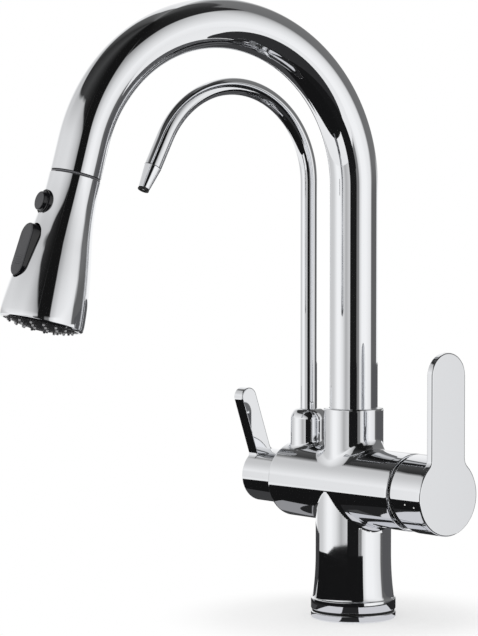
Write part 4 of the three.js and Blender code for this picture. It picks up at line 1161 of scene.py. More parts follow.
def nub_shapes():
    shapes = []
    for ring_index, (count, share) in enumerate(zip(NUB_RING_COUNTS, NUB_RING_SHARES)):
        for i in range(count):
            angle = (i + ring_index / 2) / count * FULL_TURN
            radius, face = PLATE_RADIUS * share, dome_level(share)
            root, tip = face + NUB_HEIGHT, face - NUB_HEIGHT
            outline = rounded([
                (0, root, 0), (NUB_RADIUS, root, 0), (NUB_RADIUS, face - 0.2, 0),
                (NUB_RADIUS * NUB_TIP_SHARE, tip, 0.2), (0.2, tip, 0.1), (0, tip + 0.5, 0),
            ])
            place = Matrix.Translation((radius * math.cos(angle), radius * math.sin(angle), 0))
            shapes.append(moved_shape(lathe(outline, 16), place))
    return joined_shapes(*shapes)


# %% [markdown]
# The dome and its nubs become one mesh, and a stepped hole for the stream insert goes through it.
# The nubs' tips are painted light grey, a painted highlight: faces that lie further out than the dome get
# it.

# %% Nozzle plate
TIP_MATERIAL, FIRST_NUB_SHARE = 1, 0.35
plate = combine(temporary("plate", lathe(plate_outline(), 128)), [temporary("nubs", nub_shapes())], "UNION")
insert_top = INSERT_DEPTH - HEAD_LENGTH
plate = combine(plate, [
    bore("insert_hole", INSERT_RADIUS + GAP, -HEAD_LENGTH - OVERRUN, insert_top + GAP),
    bore("channel_hole", CHANNEL_RADIUS, -HEAD_LENGTH - OVERRUN, 0),
], "DIFFERENCE")
plate_mesh = finished(plate, head_place)
add_piece("spray_plate", plate_mesh, nozzle_rubber, ["nozzle_plate"])
# painted highlight: the outer halves of the nubs get a light grey so that they show as bright specks
plate_mesh.materials.append(nub_tip_painted_highlight)
to_head = head_place.inverted()
for face in plate_mesh.polygons:
    middle = to_head @ (face.center / MM)
    share = math.hypot(middle.x, middle.y) / PLATE_RADIUS
    if share > FIRST_NUB_SHARE and middle.z < dome_level(share) - 0.5 * NUB_HEIGHT:
        face.material_index = TIP_MATERIAL
print("nozzle plate:", len(plate_mesh.polygons), "faces")

# %% [markdown]
# The full stream leaves through an insert in the middle of the dome. Fine grooves run round its face.

# %% Stream insert
STREAM_RADIUS, GROOVE_HALF = 0.8, 0.35
insert_bottom = dome_level(0)
insert_corners = [(STREAM_RADIUS, insert_bottom + 0.5, 0)]
for groove in (2.0, 3.4, 4.8):
    for radius, depth in ((groove - GROOVE_HALF, 0.3), (groove, 0.9), (groove + GROOVE_HALF, 0.3)):
        insert_corners.append((radius, insert_bottom + depth, 0.1))
insert_corners += [(INSERT_RADIUS, insert_bottom, 0.3), (INSERT_RADIUS, insert_top, 0.2)]
insert_corners.append((STREAM_RADIUS, insert_top, 0))
turned_piece("stream_ring", insert_corners, 64, grey_plastic, ["stream_insert"], head_place)
print("stream insert", round(insert_top - insert_bottom, 1), "mm deep")

# %% [markdown]
# Where head and spout meet, a thin grey ring shows: the flange of the plastic bush that the head docks on.
# Its sleeve reaches up into the tube, and the hose's connector passes through it.
# The connector is a steel ferrule with two crimps round it and a hollow stub that plugs into the head.

# %% Dock bush and hose connector
DOCK_FLANGE, DOCK_BORE, DOCK_SLEEVE, DOCK_TOP, FLANGE_TOP = 13.5, 8.6, 12.0, 16, GAP + 0.9
turned_piece("dock_ring", [
    (DOCK_BORE, GAP, 0.2), (DOCK_FLANGE, GAP, 0.2), (DOCK_FLANGE, FLANGE_TOP, 0.2),
    (DOCK_SLEEVE, FLANGE_TOP, 0), (DOCK_SLEEVE, DOCK_TOP, 0.5), (DOCK_BORE, DOCK_TOP, 0.5),
], LATHE_SIDES, seam_grey, ["dock_bush"], head_place)

FERRULE_RADIUS, FERRULE_TOP, CRIMP_RADIUS, CRIMP_LEVELS = 7.4, 12.7, 6.9, (3.4, 7.4)
STUB_RADIUS, STUB_END, STUB_BORE, BORE_END = 5.6, -9, 3.5, -4
ferrule = [(0, BORE_END, 0), (STUB_BORE, BORE_END, 0), (STUB_BORE, STUB_END, 0.2)]
ferrule += [(STUB_RADIUS, STUB_END, 0.4), (STUB_RADIUS, -GAP, 0.2), (FERRULE_RADIUS, -GAP, 0.4)]
for level in CRIMP_LEVELS:
    ferrule += [(FERRULE_RADIUS, level, 0.3), (CRIMP_RADIUS, level + 0.4, 0.2)]
    ferrule += [(CRIMP_RADIUS, level + 1, 0.2), (FERRULE_RADIUS, level + 1.4, 0.3)]
ferrule += [(FERRULE_RADIUS, FERRULE_TOP, 0.8), (0, FERRULE_TOP, 0)]
turned_piece("hose_ferrule", ferrule, 96, steel, ["hose_connector"], head_place)
print("ferrule", FERRULE_TOP - STUB_END, "mm long")

# %% [markdown]
# Both levers share one form: a hollow hub on the valve's axis, with a flat blade that rises from its face.
# The outline is a circle, two hollow shoulders and a round-ended blade, all meeting without a corner.


# %% Outline of a lever
def lever_outline(half, top, root, fillet):
    across, reach = half + fillet, root + fillet
    height = math.sqrt(reach ** 2 - across ** 2)
    root_angle = math.atan2(height, across)

    def arc(y, z, radius, first, last, steps):
        angles = np.linspace(first, last, steps + 1)
        return [(y + radius * math.cos(a), z + radius * math.sin(a)) for a in angles]

    blade = arc(across, height, fillet, math.pi + root_angle, math.pi, 14)
    blade += divided([blade[-1], (half, top - half)], 4)[1:-1]
    blade += arc(0, top - half, half, 0, math.pi, 48)
    blade += divided([(-half, top - half), (-half, height)], 4)[1:-1]
    blade += arc(-across, height, fillet, 0, -root_angle, 14)
    hub = arc(0, 0, root, math.pi - root_angle, FULL_TURN + root_angle, 110)[1:-1]
    inner = arc(0, 0, root, root_angle, math.pi - root_angle, 50)[1:-1]
    return np.array(blade), np.array(hub), np.array(inner)


# %% [markdown]
# The outline is carried back in steps: over the rounded face edge, along the side and on as a plain hub,
# while the blade gets a back of its own. Then the skin turns inwards and lines the hollow hub.
# The relief takes a little off the hub's lower back edge, so that the lever can tilt out freely.


# %% Form of a lever
def outward(points):
    tangent = np.roll(points, -1, 0) - np.roll(points, 1, 0)
    tangent /= np.linalg.norm(tangent, axis=1)[:, None]
    return np.stack((tangent[:, 1], -tangent[:, 0]), 1)


def at_x(x, points):
    xs = np.broadcast_to(x, len(points))
    return np.stack((xs, points[:, 0], points[:, 1]), 1).tolist()


def lever_shape(outline, face, thickness, start, wall, face_wall, edge, relief=0.0):
    blade, hub, inner = outline
    whole = np.concatenate((blade, hub))
    normal = outward(whole)
    root = np.linalg.norm(hub[0])
    travel = np.minimum(np.arange(len(blade)), np.arange(len(blade))[::-1])
    blade_share = np.concatenate((np.clip(travel / 5, 0, 1), np.zeros(len(hub))))[:, None]
    back = face - thickness
    quarter = np.linspace(0, math.pi / 2, 6)
    rings = []
    for drop, inset in zip(edge * (1 - np.cos(quarter)), edge * (1 - np.sin(quarter))):
        rings.append(at_x(face - drop, whole - normal * inset))
    rings.append(at_x(back + edge, whole))
    for rise, inset in list(zip(edge * (1 - np.sin(quarter)), edge * (1 - np.cos(quarter))))[1:]:
        rings.append(at_x(back + rise, whole - normal * blade_share * inset))
    verts, faces = skin(rings)
    last = len(verts) - len(whole)
    blade_row = list(range(last, last + len(blade)))
    hub_row = list(range(last + len(blade), len(verts)))
    inner_row = list(range(len(verts), len(verts) + len(inner)))
    verts += at_x(back, inner)
    faces += [list(range(len(whole))), blade_row + inner_row[::-1]]
    circle_points = np.concatenate((blade[:1], inner, blade[-1:], hub))

    def rim(x, radius):
        lower_share = np.clip(-circle_points[:, 1] / root, 0, 1)
        return at_x(x + relief * lower_share, circle_points * radius / root)

    inside = root - wall
    stations = [rim((back + start) / 2, root), rim(start + 0.4, root), rim(start + 0.1, root - 0.1)]
    stations += [rim(start, root - 0.4), rim(start, inside + 0.3), rim(start + 0.3, inside)]
    stations.append(at_x(face - face_wall, circle_points * inside / root))
    previous = [blade_row[0]] + inner_row + [blade_row[-1]] + hub_row
    for station in stations:
        row = list(range(len(verts), len(verts) + len(station)))
        verts += station
        following = [*range(1, len(row)), 0]
        faces += [[previous[k], previous[n], row[n], row[k]] for k, n in enumerate(following)]
        previous = row
    return [tuple(v) for v in verts], faces + [previous]


# %% [markdown]
# The right-hand lever mixes hot and cold. A boss inside its drum takes the cartridge's square stem,
# and a grub screw clamps it from below, through a hole in the drum.
# Inner parts of both levers are made by booleans, while the lever still lies on its own axis.

# %% Main lever
DRUM_RADIUS, BLADE_WIDTH, BLADE_THICKNESS, BLADE_TOP, SHOULDER = 22.3, 26.0, 4.4, 80.5, 7.0
DRUM_WALL, FACE_WALL, LEVER_EDGE, DRUM_RELIEF = 2.8, 3.0, 0.9, 5.8
BOSS_RADIUS, BOSS_START, SOCKET_LENGTH, GRUB_X, GRUB_RADIUS = 7.5, 64.5, 12, 68.0, 2.5
lever_low, lever_high = box_mm("main_lever")
stem_low, stem_high = box_mm("lever_stem")
level_with_valves = Matrix.Translation((0, 0, valve_height))


def boss(radius, start, end):
    corners = [(0, start), (radius, start), (radius, end), (0, end)]
    return temporary("boss", lathe(corners, 64), along_x(0))


def block(size, centre):
    half = np.array(size) / 2
    signs = [(-1, -1), (1, -1), (1, 1), (-1, 1)]
    corners = [np.array((x, y, z)) * half + centre for z in (-1, 1) for x, y in signs]
    faces = [[0, 3, 2, 1], [4, 5, 6, 7], [0, 1, 5, 4], [1, 2, 6, 5], [2, 3, 7, 6], [3, 0, 4, 7]]
    return [tuple(corner) for corner in corners], faces


main_outline = lever_outline(BLADE_WIDTH / 2, BLADE_TOP, DRUM_RADIUS, SHOULDER)
lever = temporary("lever", lever_shape(
    main_outline, lever_high[0], BLADE_THICKNESS, lever_low[0],
    DRUM_WALL, FACE_WALL, LEVER_EDGE, DRUM_RELIEF))
lever = combine(lever, [boss(BOSS_RADIUS, BOSS_START, lever_high[0] - 2)], "UNION")
socket_width = stem_high[1] - stem_low[1] + 2 * GAP
socket_middle = (stem_high[0] + GAP - SOCKET_LENGTH / 2, 0, 0)
grub_place = Matrix.Translation((GRUB_X, 0, 0))
lever = combine(lever, [
    temporary("socket", block((SOCKET_LENGTH, socket_width, socket_width), socket_middle)),
    bore("grub_hole", GRUB_RADIUS + GAP, -DRUM_RADIUS - OVERRUN, 0, grub_place, 48),
], "DIFFERENCE")
add_piece("mixing_lever", finished(lever, level_with_valves), chrome, ["main_lever"])
print("main lever from", round(lever_low[0], 1), "to", round(lever_high[0], 1), "mm")

# %% [markdown]
# Two tiny pale dots on the drum stand for cold and hot. Each is a disc sunk into the drum,
# and only a hair of it stands out, so it neither flickers with the chrome nor looks stuck on.

# %% Cold and hot dots
DOT_RADIUS, DOT_SINK, DOT_RISE = 0.5, 0.3, 0.05
DOT_PLACES = {"cold_dot": (67.0, 10.0), "hot_dot": (74.0, 13.0)}
dot_corners = [(0, -DOT_SINK, 0), (DOT_RADIUS, -DOT_SINK, 0)]
dot = lathe(rounded(dot_corners + [(DOT_RADIUS, DOT_RISE, 0.05), (0, DOT_RISE, 0)]), 24)
for name, (x, degrees) in DOT_PLACES.items():
    swing = Matrix.Rotation(math.radians(90 + degrees), 4, "X")
    place = level_with_valves @ Matrix.Translation((x, 0, 0)) @ swing
    place = place @ Matrix.Translation((0, 0, DRUM_RADIUS))
    make_piece(name, dot, white_plastic, body="main_lever", place=place)
print("dots at", DOT_PLACES)

# %% [markdown]
# The left-hand lever opens the filtered water. It has the same form, smaller and with a thicker blade,
# and it is built to the right, turned round to the left and tipped forward as the photograph shows it.

# %% Filtered-water lever
THIN_HUB_RADIUS, THIN_BLADE_HALF, THIN_BLADE_TOP, THIN_BLADE_THICKNESS = 16.0, 5.7, 56.4, 8.0
THIN_SHOULDER, THIN_LEVER_WALL, THIN_EDGE, THIN_TILT = 3.0, 2.6, 0.8, math.radians(19)
THIN_BOSS_RADIUS, THIN_BOSS_START, SPINDLE_SOCKET, THIN_GRUB_X = 7, 62, 4.3, -70
thin_lever_low, thin_lever_high = box_mm("filter_lever")
spindle_end = -box_mm("filter_spindle")[0][0]
thin_outline = lever_outline(THIN_BLADE_HALF, THIN_BLADE_TOP, THIN_HUB_RADIUS, THIN_SHOULDER)
thin_lever = temporary("thin_lever", lever_shape(
    thin_outline, -thin_lever_low[0], THIN_BLADE_THICKNESS, -thin_lever_high[0],
    THIN_LEVER_WALL, THIN_LEVER_WALL, THIN_EDGE))
boss_end = -thin_lever_low[0] - THIN_LEVER_WALL + 1
thin_lever = combine(thin_lever, [boss(THIN_BOSS_RADIUS, THIN_BOSS_START, boss_end)], "UNION")
lever_turn = Matrix.Rotation(math.pi, 4, "Z") @ Matrix.Rotation(-THIN_TILT, 4, "X")
grub_place = lever_turn.inverted() @ Matrix.Translation((THIN_GRUB_X, 0, 0))
thin_lever = combine(thin_lever, [
    bore("spindle_socket", SPINDLE_SOCKET, 0, spindle_end + GAP, along_x(0), 48),
    bore("thin_grub_hole", GRUB_RADIUS + GAP, -THIN_HUB_RADIUS - OVERRUN, 0, grub_place, 48),
], "DIFFERENCE")
thin_lever_mesh = finished(thin_lever, level_with_valves @ lever_turn)
add_piece("filtered_water_lever", thin_lever_mesh, chrome, ["filter_lever"])
print("filter lever tipped", round(math.degrees(THIN_TILT)), "degrees")

# %% [markdown]
# Below the deck the faucet is clamped by a threaded brass shank. Its thread is a real helix:
# the radius follows height and angle together, so one skin of rings winds it. It fades out at both ends.

# %% Shank
THREAD_PITCH, THREAD_DEPTH, THREAD_STEPS, THREAD_END = 2.0, 0.9, 8, 3.0
FLANK_SLOPE, CREST_SHARE, SHANK_WALL, SHANK_SIDES = 2.6, 0.15, 2.7, 64
shank_low, shank_high = box_mm("mounting_shank")
shank_radius = (shank_high[1] - shank_low[1]) / 2
bore_radius = shank_radius - SHANK_WALL
thread_low, thread_high = shank_low[2] + 1, -THREAD_END


def thread_ring(height):
    turns = np.arange(SHANK_SIDES) / SHANK_SIDES
    phase = (height / THREAD_PITCH - turns) % 1
    flank = np.clip(FLANK_SLOPE * np.abs(phase - 0.5) - CREST_SHARE, 0, 1)
    fade = np.clip(min(height - thread_low, thread_high - height) / THREAD_PITCH, 0, 1)
    radius = shank_radius - THREAD_DEPTH * fade * (1 - flank)
    unit = circle(1, SHANK_SIDES)
    return np.column_stack((unit * radius[:, None], np.full(SHANK_SIDES, height)))


def plain_ring(radius, height):
    return [(x, y, height) for x, y in circle(radius, SHANK_SIDES)]


heights = np.arange(thread_low, thread_high, THREAD_PITCH / THREAD_STEPS)
shank_rings = [
    plain_ring(bore_radius + 0.5, shank_low[2]), plain_ring(shank_radius - 0.8, shank_low[2]),
    *[thread_ring(height) for height in heights],
    plain_ring(shank_radius, thread_high), plain_ring(shank_radius, shank_high[2]),
    plain_ring(bore_radius, shank_high[2]), plain_ring(bore_radius, shank_low[2] + 0.5),
]
make_piece("threaded_shank", skin(shank_rings, closed=True), brass, ["mounting_shank"], weighted=False)
print("thread:", len(shank_rings), "rings")

# %% [markdown]
# A rubber washer, a steel washer and a hexagon nut sit on the shank.
# A real nut's corners are cut back by a cone at both ends, so the nut here is a prism cut with such a cone.

# %% Washers and nut
HALF_FLAT = math.pi / 6
WASHERS = {
    "clamp_washer_rubber": ("rubber_washer", black_rubber, 0.6),
    "clamp_washer_steel": ("steel_washer", steel, 0.3),
}
for name, (node, finish, edge) in WASHERS.items():
    low, high = box_mm(node)
    make_piece(name, turned_ring(SHANK_CLEARANCE, high[0], low[2], high[2], edge), finish, [node])


def hex_solid(name, corner, low, high):
    flat = corner * math.cos(HALF_FLAT)
    rise = (corner - flat) * math.tan(HALF_FLAT) + 0.2
    hexagon = lathe([(0, low), (corner, low), (corner, high), (0, high)], 6, HALF_FLAT)
    cone = [(0, low), (flat - 0.3, low), (corner + 0.1, low + rise)]
    cone += [(corner + 0.1, high - rise), (flat - 0.3, high), (0, high)]
    return combine(temporary(name, hexagon), [temporary("cone", lathe(cone, 96))], "INTERSECT")


nut_box_low, nut_box_high = box_mm("shank_nut")
nut_corner = max(nut_box_high[0], nut_box_high[1])
deck_nut = hex_solid("deck_nut", nut_corner, nut_box_low[2], nut_box_high[2])
nut_hole = bore("nut_hole", SHANK_CLEARANCE, nut_box_low[2] - OVERRUN, nut_box_high[2] + OVERRUN)
deck_nut = combine(deck_nut, [nut_hole], "DIFFERENCE")
add_piece("shank_nut_hex", taken_mesh(deck_nut), brass, ["shank_nut"], crease=25)
print("nut", round(nut_corner, 1), "mm to its corners")

# %% [markdown]
# Four nipples stand below the inlet block, in the bore of the shank, where the hoses are joined.
# Each is a turned tube with two low barbs, from one outline that serves all four.

# %% Nipples
NIPPLE_BORE, BARB_TOPS, BARB_DEPTH, COLLAR_LENGTH = 1.5, (3.5, 7.5), 0.4, 3.6
nipple_low, nipple_high = box_mm("cold_inlet")
nipple_radius = (nipple_high[0] - nipple_low[0]) / 2
neck, end, root = nipple_radius - BARB_DEPTH, nipple_low[2], nipple_high[2]
nipple_corners = [(NIPPLE_BORE, end, 0.1), (neck - 0.1, end, 0.2)]
for barb in BARB_TOPS:
    nipple_corners += [(nipple_radius, end + barb, 0.1), (neck, end + barb + 0.3, 0.1)]
nipple_corners += [(neck, root - COLLAR_LENGTH - 0.4, 0), (nipple_radius, root - COLLAR_LENGTH, 0.1)]
nipple_corners += [(nipple_radius, root, 0), (NIPPLE_BORE, root, 0)]
for node in ("cold_inlet", "mixed_outlet", "hot_inlet", "filtered_inlet"):
    low, high = box_mm(node)
    middle = Matrix.Translation(((low[0] + high[0]) / 2, (low[1] + high[1]) / 2, 0))
    turned_piece(node + "_nipple", nipple_corners, 32, brass, [node], middle)
print("nipples", round(root - end, 1), "mm long")

# %% [markdown]
# The pull-out hose has a braid of grey nylon over a rubber tube.
# Modelling hundreds of strands would cost more than the whole faucet. So the braid is two sets of waves
# that cross each other in the hose's own UVs: their height gives the relief, and it darkens the colour in
# the low parts between strands as painted shade.


# %% Braid
def make_braid_group():
    group, source, sink = new_group("braid_weave_and_painted_shade", {"Strands": 12.0}, ("Height", "Mask"))
    place = group.nodes.new("ShaderNodeTexCoord")
    parts = group.nodes.new("ShaderNodeSeparateXYZ")
    group.links.new(place.outputs["UV"], parts.inputs[0])
    around_strands = math_node(group, "MULTIPLY", parts.outputs["X"], source.outputs["Strands"])
    along_strands = math_node(group, "MULTIPLY", parts.outputs["Y"], source.outputs["Strands"])
    waves = []
    for operation in ("ADD", "SUBTRACT"):
        phase = math_node(group, operation, around_strands, along_strands)
        waves.append(math_node(group, "SINE", math_node(group, "MULTIPLY", phase, FULL_TURN), 0))
    height = math_node(group, "MAXIMUM", waves[0], waves[1])
    group.links.new(height, sink.inputs["Height"])
    # painted shade: the mask follows the height, so the low parts between strands get the dark colour
    group.links.new(math_node(group, "MULTIPLY_ADD", height, 0.5), sink.inputs["Mask"])
    return group


braid_group = make_braid_group()
hose_braid, braid_shader = new_finish("nylon_braid", (0.12, 0.12, 0.125), 0, 0.45)
braid_node = place_group(hose_braid, braid_group)
add_bump(hose_braid, braid_shader, braid_node.outputs["Height"], 0.25)
# painted shade: the braid's colour is dark in its low parts between strands and light on the crests
add_shades(hose_braid, braid_shader, braid_node.outputs["Mask"], (0.02, 0.02, 0.022), (0.2, 0.2, 0.21))

# %% [markdown]
# The hose runs from the ferrule in the spout's mouth, over the bend and down the column.
# Its end in the mouth leaves with the head, and along that short stretch the rings lie close together.
# The UVs run on there by the pulled length, with a smooth ease.

# %% Centre line of the hose
HOSE_RADIUS, HOSE_START, BLEND_FROM, BLEND_TO, BLEND_RINGS = 6.0, 13.0, 17.5, 13.5, 60
PULLED_LENGTH, HOSE_SIDES, HOSE_STEP, BLEND_LEAD = 350, 48, 4.0, 0.5
hose_bottom = box_mm("pull_out_hose")[0][2]
blend_length = BLEND_FROM - BLEND_TO


def hose_path(end_length):
    return gooseneck(hose_bottom, BEND_HEIGHT, BEND_RADIUS, bend_angle, end_length, HOSE_STEP)


hose_line = hose_path(END_LENGTH - BLEND_FROM - BLEND_LEAD)
mouth = hose_path(END_LENGTH - HOSE_START)[-1][0]
start_point, tangent = np.array(hose_line[-1][0]), hose_line[-1][1]
mouth_reach = np.linalg.norm(np.array(mouth) - start_point)
for distance in [*np.linspace(BLEND_LEAD, BLEND_LEAD + blend_length, BLEND_RINGS), mouth_reach]:
    hose_line.append((tuple(start_point + np.array(tangent) * distance), tangent))
steps = np.diff([point for point, _ in hose_line], axis=0)
travel = np.concatenate(([0], np.cumsum(np.linalg.norm(steps, axis=1))))
blend_share = np.clip((travel - travel[-BLEND_RINGS - 1]) / blend_length, 0, 1)
travel += PULLED_LENGTH * blend_share ** 2 * (3 - 2 * blend_share)
print("hose:", len(hose_line), "rings")

# %% [markdown]
# A blend by distance along one straight line would catch the riser behind it too.
# So the hose is two pieces: a long one that rides with the spout, and a short one at the mouth, which is
# put on no body.


# %% Braided hose
def hose_mesh(name, first, last):
    rings = []
    for (reach, level), (out, up) in hose_line[first:last]:
        round_hose = circle(HOSE_RADIUS, HOSE_SIDES)
        rings.append([(x, up * y - reach, level + out * y) for x, y in round_hose])
    verts, faces = moved_shape(skin(rings), main_place)
    side_faces = len(faces)
    end = len(verts) - HOSE_SIDES
    faces += [list(range(HOSE_SIDES))[::-1], list(range(end, end + HOSE_SIDES))]
    mesh = to_mesh(name, (verts, faces))
    layer = mesh.uv_layers.new(name="braid")
    for face in mesh.polygons[:side_faces]:
        sides = [mesh.loops[loop].vertex_index % HOSE_SIDES for loop in face.loop_indices]
        for loop, side in zip(face.loop_indices, sides):
            ring = mesh.loops[loop].vertex_index // HOSE_SIDES
            wraps = side == 0 and max(sides) > 1
            length = travel[first + ring] / (FULL_TURN * HOSE_RADIUS)
            layer.data[loop].uv = (1.0 if wraps else side / HOSE_SIDES, length)
    return mesh


HOSE_CREASE, RINGS_BEFORE_BLEND = 50, 6
split = len(hose_line) - BLEND_RINGS - RINGS_BEFORE_BLEND
long_hose = hose_mesh("hose_in_spout", 0, split)
add_piece(
    "hose_in_spout", long_hose, hose_braid, ["pull_out_hose"], crease=HOSE_CREASE, weighted=False)
hose = new_object("hose_at_mouth", hose_mesh("hose_at_mouth", split - 1, len(hose_line)))
smooth(hose.data, HOSE_CREASE)
hose.data.materials.append(hose_braid)
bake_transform(hose)
print("hose split at ring", split)

# %% [markdown]
# At its lower end the hose has a hexagon fitting of brass, which joins it to the mixed water's outlet.

# %% End fitting of the hose
TAIL_BORE = 3.5
tail_low, tail_high = box_mm("hose_tail_fitting")
tail_corner = max((tail_high - tail_low)[:2]) / 2
tail = hex_solid("hose_tail", tail_corner, tail_low[2], tail_high[2])
tail_bore = bore("tail_bore", TAIL_BORE, tail_low[2] - OVERRUN, tail_high[2] - OVERRUN, sides=48)
tail = combine(tail, [tail_bore], "DIFFERENCE")
add_piece("hose_tail_hex", taken_mesh(tail), brass, ["hose_tail_fitting"], crease=25)
print("fitting", round(tail_corner, 1), "mm to its corners")

# %% [markdown]
# Under the mixing lever sits the cartridge, a white housing that is held by a black ring nut.
# Both show through the gap behind the drum when the lever is lifted, so their edges are rounded too.

# %% Cartridge and its nut
CARTRIDGE_RADIUS, CARTRIDGE_NECK, NECK_WALL, CAVITY_RADIUS = 17.3, 13.0, 1.4, 14.4
CARTRIDGE_BASE, SHOULDER_WALL = 2.6, 1.7
base, tip, shoulder = cartridge_low[0], cartridge_high[0], nut_low[0] - GAP
cavity_end, cavity_start = shoulder - SHOULDER_WALL, base + CARTRIDGE_BASE
neck_bore = CARTRIDGE_NECK - NECK_WALL
turned_piece("cartridge_body", [
    (0, base, 0), (CARTRIDGE_RADIUS, base, 0.5), (CARTRIDGE_RADIUS, shoulder, 0.5),
    (CARTRIDGE_NECK, shoulder, 0.3), (CARTRIDGE_NECK, tip, 0.4), (neck_bore, tip, 0.3),
    (neck_bore, cavity_end, 0), (CAVITY_RADIUS, cavity_end, 0),
    (CAVITY_RADIUS, cavity_start, 0), (0, cavity_start, 0),
], 96, white_plastic, ["mixing_cartridge"], across)
nut_ring_shape = turned_ring(CARTRIDGE_NECK + GAP, nut_high[1], nut_low[0], nut_high[0], 0.5)
make_piece("cartridge_nut_ring", nut_ring_shape, black_plastic, ["cartridge_nut"], place=across)
print("cartridge", round(tip - base, 1), "mm long")

# %% [markdown]
# The grub screw that clamps the lever is reached from below, and a small plug closes its hole.

# %% Plug
plug_low, plug_high = box_mm("lever_plug")
plug_corners = [(0, plug_low[2], 0), (GRUB_RADIUS, plug_low[2], 0.4)]
plug_corners += [(GRUB_RADIUS, plug_high[2], 0), (0, plug_high[2], 0)]
plug_place = Matrix.Translation((GRUB_X, 0, 0))
turned_piece("lever_plug_cap", plug_corners, 48, grey_plastic, ["lever_plug"], plug_place)
print("plug", round(plug_high[2] - plug_low[2], 1), "mm long")

# %% [markdown]
# Solids that nothing can be seen of, deep inside the faucet, stay as they are.
# They still get their real finish, so that a cut through the model shows what each is made of.

# %% Finishes of the inner parts
INNER_FINISHES = {
    brass: ["inlet_block", "lever_stem", "filter_valve_housing", "filter_spindle", "filter_valve_nut"],
    steel: [
        "spout_retaining_clip", "filter_spout_clip", "button_spring", "rocker_pin", "stem_pin",
        "lever_grub_screw", "filter_lever_grub_screw",
    ],
    black_rubber: [
        "spout_o_ring_upper", "spout_o_ring_lower", "filter_spout_o_ring", "cartridge_seal",
    ],
    white_ceramic: [
        "fixed_ceramic_disc", "moving_ceramic_disc", "filter_fixed_disc", "filter_moving_disc",
    ],
    white_plastic: [
        "main_spout_bush", "filter_spout_bush", "disc_carrier", "temperature_turret", "check_valve",
        "diverter_spool",
    ],
    black_plastic: ["spray_head_core"],
}
for finish, names in INNER_FINISHES.items():
    for name in names:
        materials = frame["nodes"][name].data.materials
        materials.clear()
        materials.append(finish)
print(sum(map(len, INNER_FINISHES.values())), "inner solids finished")

# %% [markdown]
# The worktop is a pale matt surface, lifted a little by its own glow so that it never turns grey.
# Near the faucet it is lit as it is, and shows the soft shadow. Further out, for the camera alone,
# it fades to white, and so no edge or horizon crosses the picture.


# %% Pale surface
def surface_tree(name):
    material = bpy.data.materials.new(name)
    material.use_nodes = True
    tree = material.node_tree
    tree.nodes.clear()
    return material, tree, tree.nodes.new("ShaderNodeOutputMaterial").inputs["Surface"]


def emission(tree, colour):
    glow = tree.nodes.new("ShaderNodeEmission")
    glow.inputs["Color"].default_value = (*colour, 1)
    return glow.outputs[0]


def distance_fade(tree, start, end):
    flat = tree.nodes.new("ShaderNodeVectorMath")
    flat.operation = "MULTIPLY"
    feed(tree, flat.inputs[0], tree.nodes.new("ShaderNodeTexCoord").outputs["Object"])
    feed(tree, flat.inputs[1], (1, 1, 0))
    length = tree.nodes.new("ShaderNodeVectorMath")
    length.operation = "LENGTH"
    feed(tree, length.inputs[0], flat.outputs[0])
    fade = tree.nodes.new("ShaderNodeMapRange")
    fade.interpolation_type = "SMOOTHSTEP"
    feed(tree, fade.inputs["From Min"], start * MM)
    feed(tree, fade.inputs["From Max"], end * MM)
    feed(tree, fade.inputs["Value"], length.outputs["Value"])
    return fade.outputs[0]


def pale_surface(name, lift, fade_start, fade_end):
    material, tree, surface = surface_tree(name)
    diffuse = tree.nodes.new("ShaderNodeBsdfDiffuse")
    diffuse.inputs["Color"].default_value = (1 - lift, 1 - lift, 1 - lift, 1)
    lit = tree.nodes.new("ShaderNodeAddShader")
    feed(tree, lit.inputs[0], diffuse.outputs[0])
    feed(tree, lit.inputs[1], emission(tree, (lift, lift, lift)))
    is_camera = tree.nodes.new("ShaderNodeLightPath").outputs["Is Camera Ray"]
    share = math_node(tree, "MULTIPLY", distance_fade(tree, fade_start, fade_end), is_camera)
    mix = tree.nodes.new("ShaderNodeMixShader")
    for socket, value in zip(mix.inputs, (share, lit.outputs[0], emission(tree, (1, 1, 1)))):
        feed(tree, socket, value)
    feed(tree, surface, mix.outputs[0])
    return material


# %% [markdown]
# The faucet stands on a round plinth, as wide as the part of a worktop that it needs.
# A plinth instead of a full table leaves room for the head, which is pulled down past the edge,
# as over a sink. The floor lies below the plinth, out of the head's reach.

# %% Stage
PLINTH_RADIUS, PLINTH_HEIGHT, PLINTH_WALL, TAP_HOLE, WORKTOP = 130, 400, 10, 17.5, 30
FLOOR_RADIUS, PALE_LIFT, FADE_START, FADE_END, STAGE_CREASE = 3000, 0.45, 60, 118, 40
plinth_bottom, plinth_inside = -PLINTH_HEIGHT, PLINTH_RADIUS - PLINTH_WALL
floor_top = plinth_bottom - 1


def stage_object(name, shape, material):
    thing = new_object(name, to_mesh(name, shape))
    thing.data.materials.append(material)
    smooth(thing.data, STAGE_CREASE)
    thing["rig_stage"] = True
    return thing


plinth_outline = rounded([
    (TAP_HOLE, 0, 0), (PLINTH_RADIUS, 0, 3), (PLINTH_RADIUS, plinth_bottom, 0),
    (plinth_inside, plinth_bottom, 0), (plinth_inside, -WORKTOP, 0), (TAP_HOLE, -WORKTOP, 0),
])
pale_worktop = pale_surface("pale_worktop", PALE_LIFT, FADE_START, FADE_END)
plinth = stage_object("plinth", lathe(plinth_outline), pale_worktop)
floor_outline = [(0, floor_top), (FLOOR_RADIUS, floor_top)]
floor_outline += [(radius, floor_top - 1) for radius, _ in floor_outline[::-1]]
floor = stage_object("floor", lathe(floor_outline), pale_surface("pale_floor", PALE_LIFT, 0, 1))
print("stage:", plinth.name, "and", floor.name)

# %% [markdown]
# Chrome has no colour of its own: it shows the room. A product studio is a white tent with dark cards.
# Cards that lie low round the plinth darken the undersides and the lower edge of every reflection,
# and two stand upright: a low wall on the worktop and a skirt round the plinth. Mirrors alone see them,
# so the pale worktop stays pale. Each card is a strip, and its angles count from the camera, to its right.

# %% Strips for cards
CARD_STEP, BLUE_TINT = 3, 1.04


def strip_point(turn, radius, height):
    turn = math.radians(turn) + CAMERA_AZIMUTH
    return (radius * math.sin(turn), -radius * math.cos(turn), height)


